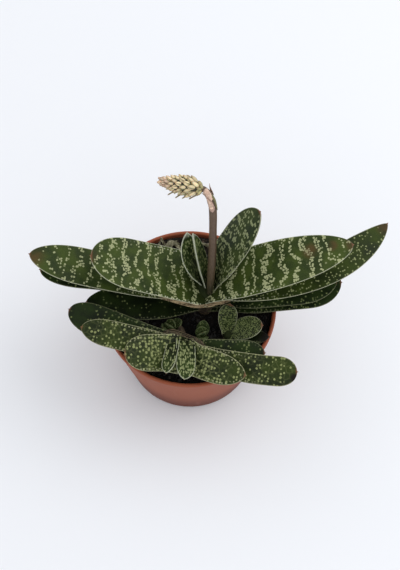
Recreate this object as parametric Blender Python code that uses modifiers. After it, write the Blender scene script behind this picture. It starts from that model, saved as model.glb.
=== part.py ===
"""A gasteria with its offsets, in a shallow round plastic pot.

Metres, +Z up. The origin is the centre of the pot's underside, on the surface that it stands on.
The plant's fan of leaves spreads along X, and -Y is the front, towards the viewer.
"""

import math

import bpy
import numpy as np
from mathutils import Euler, Matrix, Vector

# Every piece that rests on or in another keeps this gap to it
GAP = 0.0003

# Pot: a moulded plastic shell with a thick lip, and a drain channel under its floor
POT_RIM_RADIUS = 0.060
POT_NECK_RADIUS = 0.0590
POT_BASE_RADIUS = 0.0445
POT_HEIGHT = 0.075
POT_WALL = 0.0016
POT_FLOOR = 0.0030
POT_LIP_WIDTH = 0.0026
POT_LIP_DEPTH = 0.0045
POT_FOOT_ROUND = 0.0030
POT_STEPS = 40
CHANNEL_INNER = 0.012
CHANNEL_OUTER = 0.037
CHANNEL_DEPTH = 0.0010
DRAIN_HOLES = 6
DRAIN_RADIUS = 0.0038
DRAIN_CIRCLE = 0.0260
DRAIN_SIDES = 14

# Soil: fills the pot to just under its lip, and swells a little round the plant
SOIL_BELOW_RIM = 0.0060
SOIL_SWELL = 0.0015
SOIL_RELIEF = 0.0007
SOIL_STEPS = 40
SOIL_RINGS = 6

# Leaves: rings across the midline, close together at the tip, each a lens with a flatter upper face
LEAF_RINGS = 14
RING_BUNCHING = 1.5
LEAF_SIDES = 12
SPINE_STEPS = 160
UPPER_SHARE = 0.20
MARGIN_HALF = 0.0004
ROOT_THICKNESS = 0.45
TIP_POWER = 2.4

# A crown is the short stem that a fan's leaf bases clasp. lean tips it forward, in degrees, and half is
# its half thickness across the fan and its half width
CROWNS = {
    "main": dict(foot=(0.0105, 0.0080, 0.058), lean=0, length=0.040, half=(0.0080, 0.0125)),
    "front": dict(foot=(-0.0060, -0.0132, 0.0635), lean=52, length=0.0355, half=(0.0036, 0.0100)),
    "side": dict(foot=(0.0265, -0.0215, 0.060), lean=0, length=0.018, half=(0.0035, 0.0045)),
}

# A leaf's midline starts on its crown's axis at a distance along it (attach), moved by shift across it.
# heading and rise are the midline's compass angle from +X and its angle above level, at the root and at
# the tip. roll turns the blade about the midline. All are in degrees. base is the root's share of the
# full width, spread is where along the leaf the full width is reached, and narrow is where it starts to
# narrow. blunt is 0.5 for a round tip and near 1 for a pointed one. cup is how far the margins turn up at
# the root and at the tip. The root stops short of the leaves that clear names
LEAVES = {
    "leaf_left_1": dict(crown="main", attach=0.034, shift=(-0.0014, 0), heading=(184, 179), rise=(38, 26),
                        roll=(-8, 0), length=0.088, width=0.0375, thick=0.0052, base=0.85, spread=0.22,
                        narrow=0.64, blunt=0.50, cup=(0.25, 0.05)),
    "leaf_left_2": dict(crown="main", attach=0.028, heading=(181, 170), rise=(19, 13),
                        roll=(-8, -4), length=0.124, width=0.0270, thick=0.0050, base=0.75, spread=0.40,
                        narrow=0.68, blunt=0.60, cup=(0.20, 0.05)),
    "leaf_left_3": dict(crown="main", attach=0.022, heading=(170, 184), rise=(16, 8),
                        roll=(-8, -6), length=0.116, width=0.0260, thick=0.0050, base=0.70, spread=0.40,
                        narrow=0.72, blunt=0.50, cup=(0.20, 0.05)),
    "leaf_left_4": dict(crown="main", attach=0.016, heading=(191, 184), rise=(9, 9),
                        roll=(-8, -8), length=0.084, width=0.0280, thick=0.0046, base=0.70, spread=0.40,
                        narrow=0.42, blunt=0.60, cup=(0.20, 0.05)),
    "leaf_right_1": dict(crown="main", attach=0.034, shift=(0.0022, 0), heading=(-8, 14), rise=(46, 6),
                         roll=(9, 5), length=0.110, width=0.0350, thick=0.0052, base=0.85, spread=0.33,
                         narrow=0.39, blunt=0.58, cup=(0.22, 0.05), clear=["leaf_left_1"]),
    "leaf_right_2": dict(crown="main", attach=0.028, heading=(-20, 50), rise=(23, 3),
                         roll=(-8, 17), length=0.142, width=0.0235, thick=0.0050, base=0.75, spread=0.62,
                         narrow=0.60, blunt=0.72, cup=(0.20, 0.05)),
    "leaf_right_3": dict(crown="main", attach=0.022, heading=(2, 1), rise=(15, 5),
                         roll=(8, 8), length=0.093, width=0.0335, thick=0.0048, base=0.70, spread=0.42,
                         narrow=0.68, blunt=0.56, cup=(0.20, 0.05)),
    "leaf_right_4": dict(crown="main", attach=0.016, heading=(2, 3), rise=(12, 5),
                         roll=(7, 9), length=0.096, width=0.0340, thick=0.0046, base=0.70, spread=0.40,
                         narrow=0.74, blunt=0.56, cup=(0.20, 0.05)),
    "leaf_upright": dict(crown="main", attach=0.038, shift=(0.0058, 0.0020), heading=(14, 22), rise=(76, 60),
                         roll=(3, -2), length=0.084, width=0.0285, thick=0.0042, base=0.65, spread=0.40,
                         narrow=0.54, blunt=0.56, cup=(0.25, 0.05), clear=["leaf_right_1"]),
    "leaf_young_outer": dict(crown="main", attach=0.040, shift=(-0.0050, 0.0020), heading=(150, 110),
                             rise=(76, 80), roll=(25, 20), length=0.052, width=0.0165, thick=0.0026,
                             base=0.70, spread=0.40, narrow=0.35, blunt=0.85, cup=(0.30, 0.20),
                             clear=["leaf_left_1"]),
    "leaf_young_inner": dict(crown="main", attach=0.040, shift=(0.0000, -0.0010), heading=(110, 112),
                             rise=(82, 76), roll=(40, 30), length=0.056, width=0.0125, thick=0.0024,
                             base=0.70, spread=0.40, narrow=0.35, blunt=0.85, cup=(0.40, 0.30),
                             clear=["leaf_left_1", "leaf_right_1"]),
    "front_leaf_left_1": dict(crown="front", attach=0.034, shift=(-0.0010, 0), heading=(185, 192),
                              rise=(22, 10), roll=(-26, -18), length=0.039, width=0.0250, thick=0.0048, base=1.10,
                              spread=0.30, narrow=0.53, blunt=0.50, cup=(0.12, 0.05)),
    "front_leaf_left_2": dict(crown="front", attach=0.028, shift=(-0.0010, 0), heading=(175, 168), rise=(18, 7),
                              roll=(-28, -22), length=0.069, width=0.0185, thick=0.0046, base=0.85,
                              spread=0.35, narrow=0.69, blunt=0.58, cup=(0.12, 0.05)),
    "front_leaf_left_3": dict(crown="front", attach=0.022, heading=(173, 156), rise=(11, 8),
                              roll=(-29, -20), length=0.081, width=0.0220, thick=0.0046, base=0.70,
                              spread=0.65, narrow=0.71, blunt=0.50, cup=(0.12, 0.05)),
    "front_leaf_right_1": dict(crown="front", attach=0.034, shift=(0.0030, -0.0015), heading=(-32, -19),
                               rise=(15, 13), roll=(29, 24), length=0.047, width=0.0215, thick=0.0048, base=1.15,
                               spread=0.25, narrow=0.49, blunt=0.62, cup=(0.12, 0.05),
                               clear=["front_leaf_left_1"]),
    "front_leaf_right_2": dict(crown="front", attach=0.028, shift=(0.0010, 0), heading=(-29, -6), rise=(11, 14),
                               roll=(29, 24), length=0.0835, width=0.0200, thick=0.0046, base=0.75,
                               spread=0.65, narrow=0.83, blunt=0.50, cup=(0.12, 0.05)),
    "front_leaf_right_3": dict(crown="front", attach=0.022, heading=(-18, -3), rise=(10, 12),
                               roll=(29, 22), length=0.060, width=0.0175, thick=0.0042, base=0.70,
                               spread=0.60, narrow=0.75, blunt=0.60, cup=(0.12, 0.05)),
    "front_leaf_young_1": dict(crown="front", attach=0.0400, shift=(0.0028, 0.0120), heading=(-84, -96),
                               rise=(18, 20), roll=(-10, -10), length=0.0350, width=0.0125, thick=0.0026,
                               base=0.70, spread=0.50, narrow=0.60, blunt=0.60, cup=(0.35, 0.15),
                               clear=["front_leaf_right_1", "front_leaf_left_1", "front_leaf_young_2"]),
    "front_leaf_young_2": dict(crown="front", attach=0.0410, shift=(-0.0042, 0.0126), heading=(-98, -102),
                               rise=(21, 23), roll=(12, 12), length=0.0315, width=0.0090, thick=0.0024,
                               base=0.70, spread=0.50, narrow=0.65, blunt=0.60, cup=(0.45, 0.30),
                               clear=["front_leaf_left_1"]),
    "side_leaf_1": dict(crown="side", attach=0.016, shift=(0, 0.0010), heading=(102, 66), rise=(50, 50),
                        roll=(0, 6), length=0.0225, width=0.0130, thick=0.0038, base=0.70, spread=0.50,
                        narrow=0.60, blunt=0.54, cup=(0.20, 0.05)),
    "side_leaf_2": dict(crown="side", attach=0.015, heading=(10, -5), rise=(38, 20),
                        roll=(9, 12), length=0.0275, width=0.0160, thick=0.0038, base=0.70, spread=0.55,
                        narrow=0.50, blunt=0.54, cup=(0.20, 0.05), clear=["side_leaf_1"]),
    "side_leaf_3": dict(crown="side", attach=0.0105, heading=(-6, -8), rise=(17, 15),
                        roll=(10, 12), length=0.0300, width=0.0120, thick=0.0032, base=0.70, spread=0.50,
                        narrow=0.45, blunt=0.70, cup=(0.20, 0.05)),
}

# Flower stalk: its route from the crown up to the bud head, with its radius at each point
STALK_ROUTE = [
    ((0.0136, 0.0000, 0.0960), 0.0028),
    ((0.0146, 0.0045, 0.1160), 0.0027),
    ((0.0154, 0.0100, 0.1380), 0.0026),
    ((0.0156, 0.0150, 0.1590), 0.0025),
    ((0.0155, 0.0190, 0.1730), 0.0026),
    ((0.0147, 0.0230, 0.1795), 0.0024),
    ((0.0129, 0.0264, 0.1834), 0.0022),
    ((0.0098, 0.0288, 0.1854), 0.0020),
]
STALK_SIDES_RESOLUTION = 2
STALK_SPLITS = 4

# Bud head: closed buds on a spiral round a core, larger towards the stalk
HEAD_TIP = (-0.0180, 0.0345, 0.1865)
HEAD_START = 0.0024
HEAD_RADIUS = 0.0054
BUDS = 44
BUD_SIDES = 5
BUD_LENGTH = (0.0080, 0.0036)
BUD_RADIUS = (0.0021, 0.0010)
GOLDEN_ANGLE = math.radians(137.508)

# Dry bracts on the stalk: (distance up the route from 0 to 1, compass angle round it, length)
BRACTS = [(0.60, 60, 0.014), (0.72, 200, 0.011), (0.82, 20, 0.007)]
BRACT_WIDTH = 0.0060
BRACT_THICK = 0.0009

# Offsets: the smallest plants, each a stub in the soil with a few leaves
OFFSETS = {
    "offset_back": dict(foot=(-0.0135, -0.0160), turn=20, leaves=4, size=0.0125),
    "offset_middle": dict(foot=(0.0085, -0.0215), turn=80, leaves=4, size=0.013),
}
OFFSET_STUB_RADIUS = 0.0026
OFFSET_STUB_DEPTH = 0.0060

# Finishes, as sRGB hex colours with a roughness
FINISHES = {
    "pot_plastic": ("8A5A48", 0.55),
    "soil": ("2B211A", 0.95),
    "leaf_green": ("33451F", 0.38),
    "stem_brown": ("8A7458", 0.60),
    "stalk_brown": ("6E4F45", 0.45),
    "bud_cream": ("CDBF8F", 0.50),
}


def linear(hex_colour):
    """The linear RGBA of an sRGB hex colour."""
    channels = [int(hex_colour[i:i + 2], 16) / 255 for i in (0, 2, 4)]
    return [c / 12.92 if c <= 0.04045 else ((c + 0.055) / 1.055) ** 2.4 for c in channels] + [1.0]


def finish(name):
    """The material of that finish, made the first time that it is asked for."""
    made = bpy.data.materials.get(name)
    if made is None:
        colour, roughness = FINISHES[name]
        made = bpy.data.materials.new(name)
        made.use_nodes = True
        shader = made.node_tree.nodes["Principled BSDF"]
        shader.inputs["Base Color"].default_value = linear(colour)
        shader.inputs["Roughness"].default_value = roughness
        made.diffuse_color = linear(colour)
    return made


def clear_scene():
    """Removes what the starting scene holds."""
    for obj in list(bpy.data.objects):
        bpy.data.objects.remove(obj, do_unlink=True)


def collection(name):
    """A new collection in the scene."""
    made = bpy.data.collections.new(name)
    bpy.context.scene.collection.children.link(made)
    return made


def add_object(name, data, home, finish_name=None):
    """Puts an object with that mesh or curve in a collection, with its finish."""
    obj = bpy.data.objects.new(name, data)
    home.objects.link(obj)
    if finish_name:
        data.materials.append(finish(finish_name))
    return obj


def as_helper(obj):
    """Marks a cutter, or a shape that a Boolean takes up, as no piece of the object."""
    obj.hide_render = True
    obj.display_type = "WIRE"
    return obj


def smooth(mesh, angle=40):
    """Shades a mesh smooth, apart from edges sharper than the angle."""
    mesh.shade_smooth()
    mesh.set_sharp_from_angle(angle=math.radians(angle))


def closed_loft(name, rings):
    """A closed mesh through rings of points, each (count, 3), with a flat fan at each end.

    A ring whose points all coincide closes to one vertex.
    """
    vertices, faces, loops = [], [], []
    for ring in rings:
        start = len(vertices)
        if np.ptp(ring, axis=0).max() < 1e-9:
            vertices.append(ring[0])
            loops.append([start])
        else:
            vertices.extend(ring)
            loops.append(list(range(start, start + len(ring))))
    for lower, upper in zip(loops, loops[1:]):
        count = max(len(lower), len(upper))
        for i in range(count):
            j = (i + 1) % count
            if len(lower) == 1:
                faces.append((lower[0], upper[j], upper[i]))
            elif len(upper) == 1:
                faces.append((lower[i], lower[j], upper[0]))
            else:
                faces.append((lower[i], lower[j], upper[j], upper[i]))
    if len(loops[0]) > 1:
        faces.append(tuple(reversed(loops[0])))
    if len(loops[-1]) > 1:
        faces.append(tuple(loops[-1]))
    mesh = bpy.data.meshes.new(name)
    mesh.from_pydata([tuple(v) for v in vertices], [], faces)
    mesh.update()
    return mesh


def boolean(obj, operation, other, solver="EXACT"):
    """Adds a Boolean modifier with an object or a collection."""
    modifier = obj.modifiers.new(operation.lower(), "BOOLEAN")
    modifier.operation = operation
    modifier.solver = solver
    if isinstance(other, bpy.types.Collection):
        modifier.operand_type = "COLLECTION"
        modifier.collection = other
    else:
        modifier.object = other
    return modifier


def fuse(obj, pieces, home):
    """Joins the pieces to obj by one Boolean union, applies it, and removes them."""
    group = collection(obj.name + "_pieces")
    for piece in pieces:
        for used in piece.users_collection:
            used.objects.unlink(piece)
        group.objects.link(piece)
    modifier = boolean(obj, "UNION", group)
    bpy.context.view_layer.update()
    graph = bpy.context.evaluated_depsgraph_get()
    joined = bpy.data.meshes.new_from_object(obj.evaluated_get(graph))
    obj.modifiers.remove(modifier)
    old = obj.data
    obj.data = joined
    bpy.data.meshes.remove(old)
    for piece in pieces:
        bpy.data.objects.remove(piece, do_unlink=True)
    bpy.data.collections.remove(group)
    return obj


def wall_radius(z):
    """The outer radius of the pot's wall at a height, without its lip."""
    share = z / (POT_HEIGHT - POT_LIP_DEPTH)
    return POT_BASE_RADIUS + (POT_NECK_RADIUS - POT_BASE_RADIUS) * share


def pot_profile():
    """The pot's half section, from the middle of its floor over the lip to the middle of its underside."""
    lip_inner = POT_RIM_RADIUS - POT_LIP_WIDTH
    round_over = POT_LIP_WIDTH / 2
    points = [(0, POT_FLOOR), (wall_radius(POT_FLOOR) - POT_WALL, POT_FLOOR)]
    neck = POT_HEIGHT - POT_LIP_DEPTH
    points.append((wall_radius(neck) - POT_WALL, neck))
    middle = lip_inner + round_over
    for step in range(7):
        angle = math.pi - math.pi * step / 6
        points.append((middle + round_over * math.cos(angle),
                       POT_HEIGHT - round_over + round_over * math.sin(angle)))
    points.append((POT_RIM_RADIUS - 0.0002, neck + 0.0004))
    points.append((POT_NECK_RADIUS, neck))
    centre = wall_radius(POT_FOOT_ROUND) - POT_FOOT_ROUND
    for step in range(4):
        angle = math.pi / 2 * step / 3
        points.append((centre + POT_FOOT_ROUND * math.cos(angle),
                       POT_FOOT_ROUND - POT_FOOT_ROUND * math.sin(angle)))
    points += [(CHANNEL_OUTER, 0), (CHANNEL_OUTER, CHANNEL_DEPTH), (CHANNEL_INNER, CHANNEL_DEPTH),
               (CHANNEL_INNER, 0), (0, 0)]
    return points


def turned(name, profile, steps, home, finish_name=None):
    """A solid of revolution about Z, from an open profile that starts and ends on the axis."""
    mesh = bpy.data.meshes.new(name)
    mesh.from_pydata([(r, 0, z) for r, z in profile], [(i, i + 1) for i in range(len(profile) - 1)], [])
    obj = add_object(name, mesh, home, finish_name)
    screw = obj.modifiers.new("turn", "SCREW")
    screw.steps = screw.render_steps = steps
    screw.use_merge_vertices = True
    screw.merge_threshold = 0.00001
    screw.use_smooth_shade = False
    return obj


def make_pot(parts, cutters):
    """The pot, with a ring of drain holes through its floor."""
    pot = turned("pot", pot_profile(), POT_STEPS, parts, "pot_plastic")
    holes = collection("drain_holes")
    holes.hide_render = True
    for index in range(DRAIN_HOLES):
        angle = 2 * math.pi * (index + 0.5) / DRAIN_HOLES
        bpy.ops.mesh.primitive_cylinder_add(
            vertices=DRAIN_SIDES, radius=DRAIN_RADIUS, depth=4 * POT_FLOOR,
            location=(DRAIN_CIRCLE * math.cos(angle), DRAIN_CIRCLE * math.sin(angle), POT_FLOOR / 2))
        hole = as_helper(bpy.context.object)
        hole.name = f"drain_hole_{index + 1}"
        for used in hole.users_collection:
            used.objects.unlink(hole)
        holes.objects.link(hole)
    boolean(pot, "DIFFERENCE", holes)
    return pot


def soil_height(x, y):
    """The soil's surface: level under the lip, swelling towards the middle, with low uneven relief."""
    away = np.hypot(x, y) / POT_RIM_RADIUS
    swell = SOIL_SWELL * (1 - away ** 2)
    relief = np.sin(x * 210 + 1.3) * np.cos(y * 170 + 0.4) + 0.6 * np.sin((x - y) * 330)
    return POT_HEIGHT - SOIL_BELOW_RIM + swell + SOIL_RELIEF * relief


def make_soil(parts):
    """The soil, a gap inside the pot's wall and floor, with a relief on its top."""
    angles = np.linspace(0, 2 * math.pi, SOIL_STEPS, endpoint=False)
    circle = np.stack([np.cos(angles), np.sin(angles)], axis=1)
    bottom = POT_FLOOR + GAP
    bottom_radius = wall_radius(bottom) - POT_WALL - GAP
    top_radius = wall_radius(POT_HEIGHT - SOIL_BELOW_RIM) - POT_WALL - 2 * GAP
    rings = [np.zeros((SOIL_STEPS, 3)) + (0, 0, bottom)]
    rings.append(np.column_stack([circle * bottom_radius, np.full(SOIL_STEPS, bottom)]))
    for index in range(SOIL_RINGS):
        flat = circle * top_radius * (1 - index / SOIL_RINGS)
        height = soil_height(flat[:, 0], flat[:, 1]) if index else np.full(
            SOIL_STEPS, POT_HEIGHT - SOIL_BELOW_RIM)
        rings.append(np.column_stack([flat, height]))
    middle = float(soil_height(np.array(0.0), np.array(0.0)))
    rings.append(np.zeros((SOIL_STEPS, 3)) + (0, 0, middle))
    mesh = closed_loft("soil", rings)
    return add_object("soil", mesh, parts, "soil")


def crown_axis(name):
    """The direction that a crown grows in."""
    lean = math.radians(CROWNS[name]["lean"])
    return Vector((0, -math.sin(lean), math.cos(lean)))


def crown_shape(name, object_name, home, grow=0.0, finish_name=None):
    """A crown, or with grow the space round it: a domed stub, thin across the fan and wide along it."""
    size = CROWNS[name]
    half_thin, half_wide = (half + grow for half in size["half"])
    length = size["length"] + grow
    profile = [(0, length), (0.5, 0.985), (0.80, 0.92), (0.97, 0.80), (1.0, 0.62), (0.86, 0.38), (0.55, 0.15),
               (0.35, 0.0), (0, 0.0)]
    points = [(0, length)] + [(half_wide * r, length * z) for r, z in profile[1:]]
    if grow:
        points[-2:] = [(half_wide * 0.35, -grow), (0, -grow)]
    obj = turned(object_name, points, 24, home, finish_name)
    obj.scale = (half_thin / half_wide, 1, 1)
    obj.rotation_euler = (math.radians(size["lean"]), 0, 0)
    obj.location = size["foot"]
    return obj


def smoothstep(values):
    values = np.clip(values, 0, 1)
    return values * values * (3 - 2 * values)


def leaf_spine(leaf, root):
    """The midline and its frame at SPINE_STEPS + 1 even steps: points, then unit vectors along the
    leaf, across it and out of its upper face. The direction turns evenly from root to tip."""
    along = np.linspace(0, 1, SPINE_STEPS + 1)
    heading, rise, roll = (np.radians(leaf[key][0] + (leaf[key][1] - leaf[key][0]) * along)
                           for key in ("heading", "rise", "roll"))
    level = np.zeros_like(along)
    ahead = np.column_stack([np.cos(rise) * np.cos(heading), np.cos(rise) * np.sin(heading), np.sin(rise)])
    across = np.column_stack([-np.sin(heading), np.cos(heading), level])
    up = np.cross(ahead, across)
    side = across * np.cos(roll)[:, None] + up * np.sin(roll)[:, None]
    face = up * np.cos(roll)[:, None] - across * np.sin(roll)[:, None]
    steps = (ahead[1:] + ahead[:-1]) / 2 * leaf["length"] / SPINE_STEPS
    points = np.vstack([np.zeros(3), np.cumsum(steps, axis=0)]) + np.array(root)
    return along, points, side, face


def leaf_half_width(leaf, along):
    """Half the blade's width: it widens from the root, runs almost parallel, and rounds off at the tip."""
    widen = leaf["base"] + (1 - leaf["base"]) * smoothstep(along / leaf["spread"])
    towards_tip = np.clip((along - leaf["narrow"]) / (1 - leaf["narrow"]), 0, 1)
    return leaf["width"] / 2 * widen * np.clip(1 - towards_tip ** TIP_POWER, 0, 1) ** leaf["blunt"]


def leaf_thickness(leaf, along):
    """The thickness at the midline: thin where the base clasps the crown, and tapering to the tip."""
    swell = ROOT_THICKNESS + (1 - ROOT_THICKNESS) * smoothstep(along / 0.35)
    return leaf["thick"] * swell * (1 - 0.30 * along) * np.sqrt(np.clip(1 - along ** 8, 0, 1))


def leaf_section(sides):
    """The lens outline of one section, anticlockwise from the margin at +1: where each point is across the
    blade, and how far it is above the midline, as shares of the upper and of the lower swell."""
    angles = 2 * math.pi * np.arange(sides) / sides
    across = np.cos(angles)
    upper = np.where(np.sin(angles) > 1e-6, 1 - across ** 2, 0)
    lower = np.where(np.sin(angles) < -1e-6, (1 - across ** 2) ** 0.85, 0)
    return across, upper, lower, np.sign(np.round(np.sin(angles), 6))


def leaf_rings(leaf, root, rings=LEAF_RINGS, sides=LEAF_SIDES, grow=0.0):
    """The rings of points that make a leaf's surface, from its root to the point at its tip. With grow
    they make the space round it instead."""
    along, points, side, face = leaf_spine(leaf, root)
    across, upper, lower, which = leaf_section(sides)
    made = []
    for index in range(rings + 1):
        at = 1 - (1 - index / rings) ** RING_BUNCHING
        point, width_way, face_way = (np.array([np.interp(at, along, line[:, k]) for k in range(3)])
                                      for line in (points, side, face))
        half = float(leaf_half_width(leaf, at)) + grow
        thick = float(leaf_thickness(leaf, at))
        cup = leaf["cup"][0] * (1 - at) ** 2 + leaf["cup"][1] * at
        height = (UPPER_SHARE * thick * upper - (1 - UPPER_SHARE) * thick * lower
                  + (MARGIN_HALF * min(1, thick / 0.001) + 1.3 * grow) * which + cup * half * across ** 2)
        made.append(point + np.outer(across * half, width_way) + np.outer(height, face_way))
    if grow:
        made[0] = made[0] + (points[0] - points[1]) / np.linalg.norm(points[0] - points[1]) * 2 * grow
    made[-1] = np.repeat(made[-1].mean(axis=0)[None], sides, axis=0)
    return made


def leaf_root(leaf):
    """Where a leaf's midline starts: on its crown's axis, or shifted across the fan from it."""
    crown = CROWNS[leaf["crown"]]
    root = Vector(crown["foot"]) + crown_axis(leaf["crown"]) * leaf["attach"]
    return root + Vector((*leaf.get("shift", (0, 0)), 0))


def leaf_space(name, home):
    """The space round a leaf, which a piece above it stops short of."""
    found = bpy.data.objects.get(name + "_space")
    if found is None:
        leaf = LEAVES[name]
        mesh = closed_loft(name + "_space", leaf_rings(leaf, leaf_root(leaf), grow=GAP))
        found = as_helper(add_object(name + "_space", mesh, home))
    return found


def make_leaves(parts, clearances, spaces):
    """Every large leaf, cut where it meets its crown or the leaves that it stands on."""
    for name, leaf in LEAVES.items():
        mesh = closed_loft(name, leaf_rings(leaf, leaf_root(leaf)))
        smooth(mesh)
        blade = add_object(name, mesh, parts, "leaf_green")
        boolean(blade, "DIFFERENCE", clearances[leaf["crown"]])
        for below in leaf.get("clear", []):
            boolean(blade, "DIFFERENCE", leaf_space(below, spaces))


def mesh_of_curve(name, curve_object, home, finish_name):
    """A mesh object of a curve's tube, with its caps welded, in the curve's place."""
    bpy.context.view_layer.update()
    graph = bpy.context.evaluated_depsgraph_get()
    mesh = bpy.data.meshes.new_from_object(curve_object.evaluated_get(graph))
    mesh.transform(curve_object.matrix_world)
    import bmesh
    shell = bmesh.new()
    shell.from_mesh(mesh)
    bmesh.ops.remove_doubles(shell, verts=shell.verts, dist=0.000005)
    shell.to_mesh(mesh)
    shell.free()
    mesh.materials.clear()
    bpy.data.objects.remove(curve_object, do_unlink=True)
    return add_object(name, mesh, home, finish_name)


def smooth_route(points, splits):
    """Points on a Catmull-Rom curve through the given ones, splits to each stretch."""
    points = np.array(points, float)
    padded = np.vstack([2 * points[0] - points[1], points, 2 * points[-1] - points[-2]])
    made = []
    for p0, p1, p2, p3 in zip(padded, padded[1:], padded[2:], padded[3:]):
        for k in range(splits):
            t = k / splits
            made.append(0.5 * (2 * p1 + (p2 - p0) * t + (2 * p0 - 5 * p1 + 4 * p2 - p3) * t ** 2
                               + (3 * p1 - p0 - 3 * p2 + p3) * t ** 3))
    made.append(points[-1])
    return np.array(made)


def stalk_line():
    """The stalk's midline and radius, as rows of x, y, z and radius."""
    return smooth_route([(*point, radius) for point, radius in STALK_ROUTE], STALK_SPLITS)


def make_stalk(parts, clearances, spaces):
    """The flower stalk, a tapered bent tube with dry bracts fused to it."""
    line = stalk_line()
    curve = bpy.data.curves.new("flower_stalk", "CURVE")
    curve.dimensions = "3D"
    curve.bevel_depth = 1.0
    curve.bevel_resolution = STALK_SIDES_RESOLUTION
    curve.use_fill_caps = True
    spline = curve.splines.new("POLY")
    spline.points.add(len(line) - 1)
    for point, (x, y, z, radius) in zip(spline.points, line):
        point.co = (x, y, z, 1)
        point.radius = radius
    tube = add_object("flower_stalk_line", curve, parts)
    stalk = mesh_of_curve("flower_stalk", tube, parts, "stalk_brown")
    bracts = [make_bract(index, *bract, parts) for index, bract in enumerate(BRACTS)]
    fuse(stalk, bracts, parts)
    smooth(stalk.data)
    boolean(stalk, "DIFFERENCE", clearances["main"])
    boolean(stalk, "DIFFERENCE", leaf_space("leaf_right_1", spaces))
    return stalk


def make_bract(index, share, turn, length, home):
    """One dry bract: a thin pointed blade whose root is sunk in the stalk, and which hugs it."""
    line = stalk_line()
    at = int(round(share * (len(line) - 1)))
    at = min(at, len(line) - 2)
    here = Vector(line[at][:3])
    ahead = (Vector(line[at + 1][:3]) - here).normalized()
    sideways = ahead.cross(Vector((0, 1, 0))).normalized()
    outward = Matrix.Rotation(math.radians(turn), 3, ahead) @ sideways
    start = here + outward * (line[at][3] * 0.6)
    direction = (ahead + outward * 0.25).normalized()
    heading = math.degrees(math.atan2(direction.y, direction.x))
    rise = math.degrees(math.asin(direction.z))
    leaf = dict(heading=(heading, heading), rise=(rise, rise), roll=(0, 0), length=length, width=BRACT_WIDTH,
                thick=BRACT_THICK * 1.6, base=0.8, spread=0.4, narrow=0.3, blunt=0.9, cup=(0.5, 0.3))
    mesh = closed_loft(f"bract_{index}", leaf_rings(leaf, start, rings=6, sides=8))
    return as_helper(add_object(f"bract_{index}", mesh, home))


def make_bud_head(parts):
    """The nodding head of closed buds, fused round their common core."""
    base, tip = Vector(STALK_ROUTE[-1][0]), Vector(HEAD_TIP)
    axis = (tip - base).normalized()
    base = base + axis * HEAD_START
    length = (tip - base).length
    turn = axis.to_track_quat("Z", "X").to_matrix()
    core_shape = [(0.0, 0.45), (0.12, 0.85), (0.35, 1.0), (0.62, 0.80), (0.85, 0.42), (0.97, 0.12)]
    angles = 2 * math.pi * np.arange(10) / 10
    rings = []
    for share, radius in core_shape:
        ring = np.column_stack([np.cos(angles) * radius * HEAD_RADIUS, np.sin(angles) * radius * HEAD_RADIUS,
                                np.full(10, share * length)])
        rings.append(ring @ np.array(turn).T + np.array(base))
    head = add_object("flower_buds", closed_loft("flower_buds", rings), parts, "bud_cream")
    buds = []
    shares, radii = zip(*core_shape)
    for index in range(BUDS):
        share = 0.09 + 0.87 * (index + 0.5) / BUDS
        angle = GOLDEN_ANGLE * index
        radial = Vector((math.cos(angle), math.sin(angle), 0))
        size = 1 - share
        spread = 0.35 + 0.75 * size
        way = turn @ (radial * spread + Vector((0, 0, 1))).normalized()
        out = float(np.interp(share, shares, radii)) * HEAD_RADIUS * 0.55
        start = base + axis * (share * length) + (turn @ radial) * out
        buds.append(make_bud(index, start, way,
                             BUD_LENGTH[1] + (BUD_LENGTH[0] - BUD_LENGTH[1]) * size,
                             BUD_RADIUS[1] + (BUD_RADIUS[0] - BUD_RADIUS[1]) * size, parts))
    fuse(head, buds, parts)
    smooth(head.data, 60)
    return head


def make_bud(index, start, way, length, radius, home):
    """One closed bud: a plump grain with a pointed end."""
    turn = np.array(way.to_track_quat("Z", "X").to_matrix())
    angles = 2 * math.pi * np.arange(BUD_SIDES) / BUD_SIDES + index
    rings = []
    for share, width in ((0, 0.55), (0.35, 1.0), (0.68, 0.85), (1.0, 0.0)):
        ring = np.column_stack([np.cos(angles) * width * radius, np.sin(angles) * width * radius,
                                np.full(BUD_SIDES, share * length)])
        rings.append(ring @ turn.T + np.array(start))
    return as_helper(add_object(f"bud_{index}", closed_loft(f"bud_{index}", rings), home))


def make_offset(name, parts):
    """One of the smallest plants: a stub with a few short leaves, fused in one body."""
    size = OFFSETS[name]
    x, y = size["foot"]
    ground = float(soil_height(np.array(x), np.array(y)))
    bpy.ops.mesh.primitive_cylinder_add(vertices=12, radius=OFFSET_STUB_RADIUS, depth=OFFSET_STUB_DEPTH * 1.5,
                                        location=(x, y, ground - OFFSET_STUB_DEPTH * 0.25))
    stub = bpy.context.object
    stub.name = stub.data.name = name
    for used in stub.users_collection:
        used.objects.unlink(stub)
    parts.objects.link(stub)
    stub.data.materials.append(finish("leaf_green"))
    stub.data.transform(Matrix.Translation(stub.location))
    stub.location = (0, 0, 0)
    leaves = []
    for index in range(size["leaves"]):
        turn = size["turn"] + 180 * index + 12 * index
        steep = 40 + 12 * index
        leaf = dict(heading=(turn, turn), rise=(steep, steep + 12), roll=(0, 0),
                    length=size["size"] * (1 - 0.12 * index), width=size["size"] * 0.56,
                    thick=0.0026, base=0.6, spread=0.5, narrow=0.4, blunt=0.65, cup=(0.4, 0.1))
        root = (x, y, ground + OFFSET_STUB_DEPTH * (0.15 + 0.10 * index))
        mesh = closed_loft(f"{name}_{index}", leaf_rings(leaf, root, rings=6, sides=8))
        leaves.append(as_helper(add_object(f"{name}_{index}", mesh, parts)))
    fuse(stub, leaves, parts)
    smooth(stub.data)
    return stub


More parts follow.
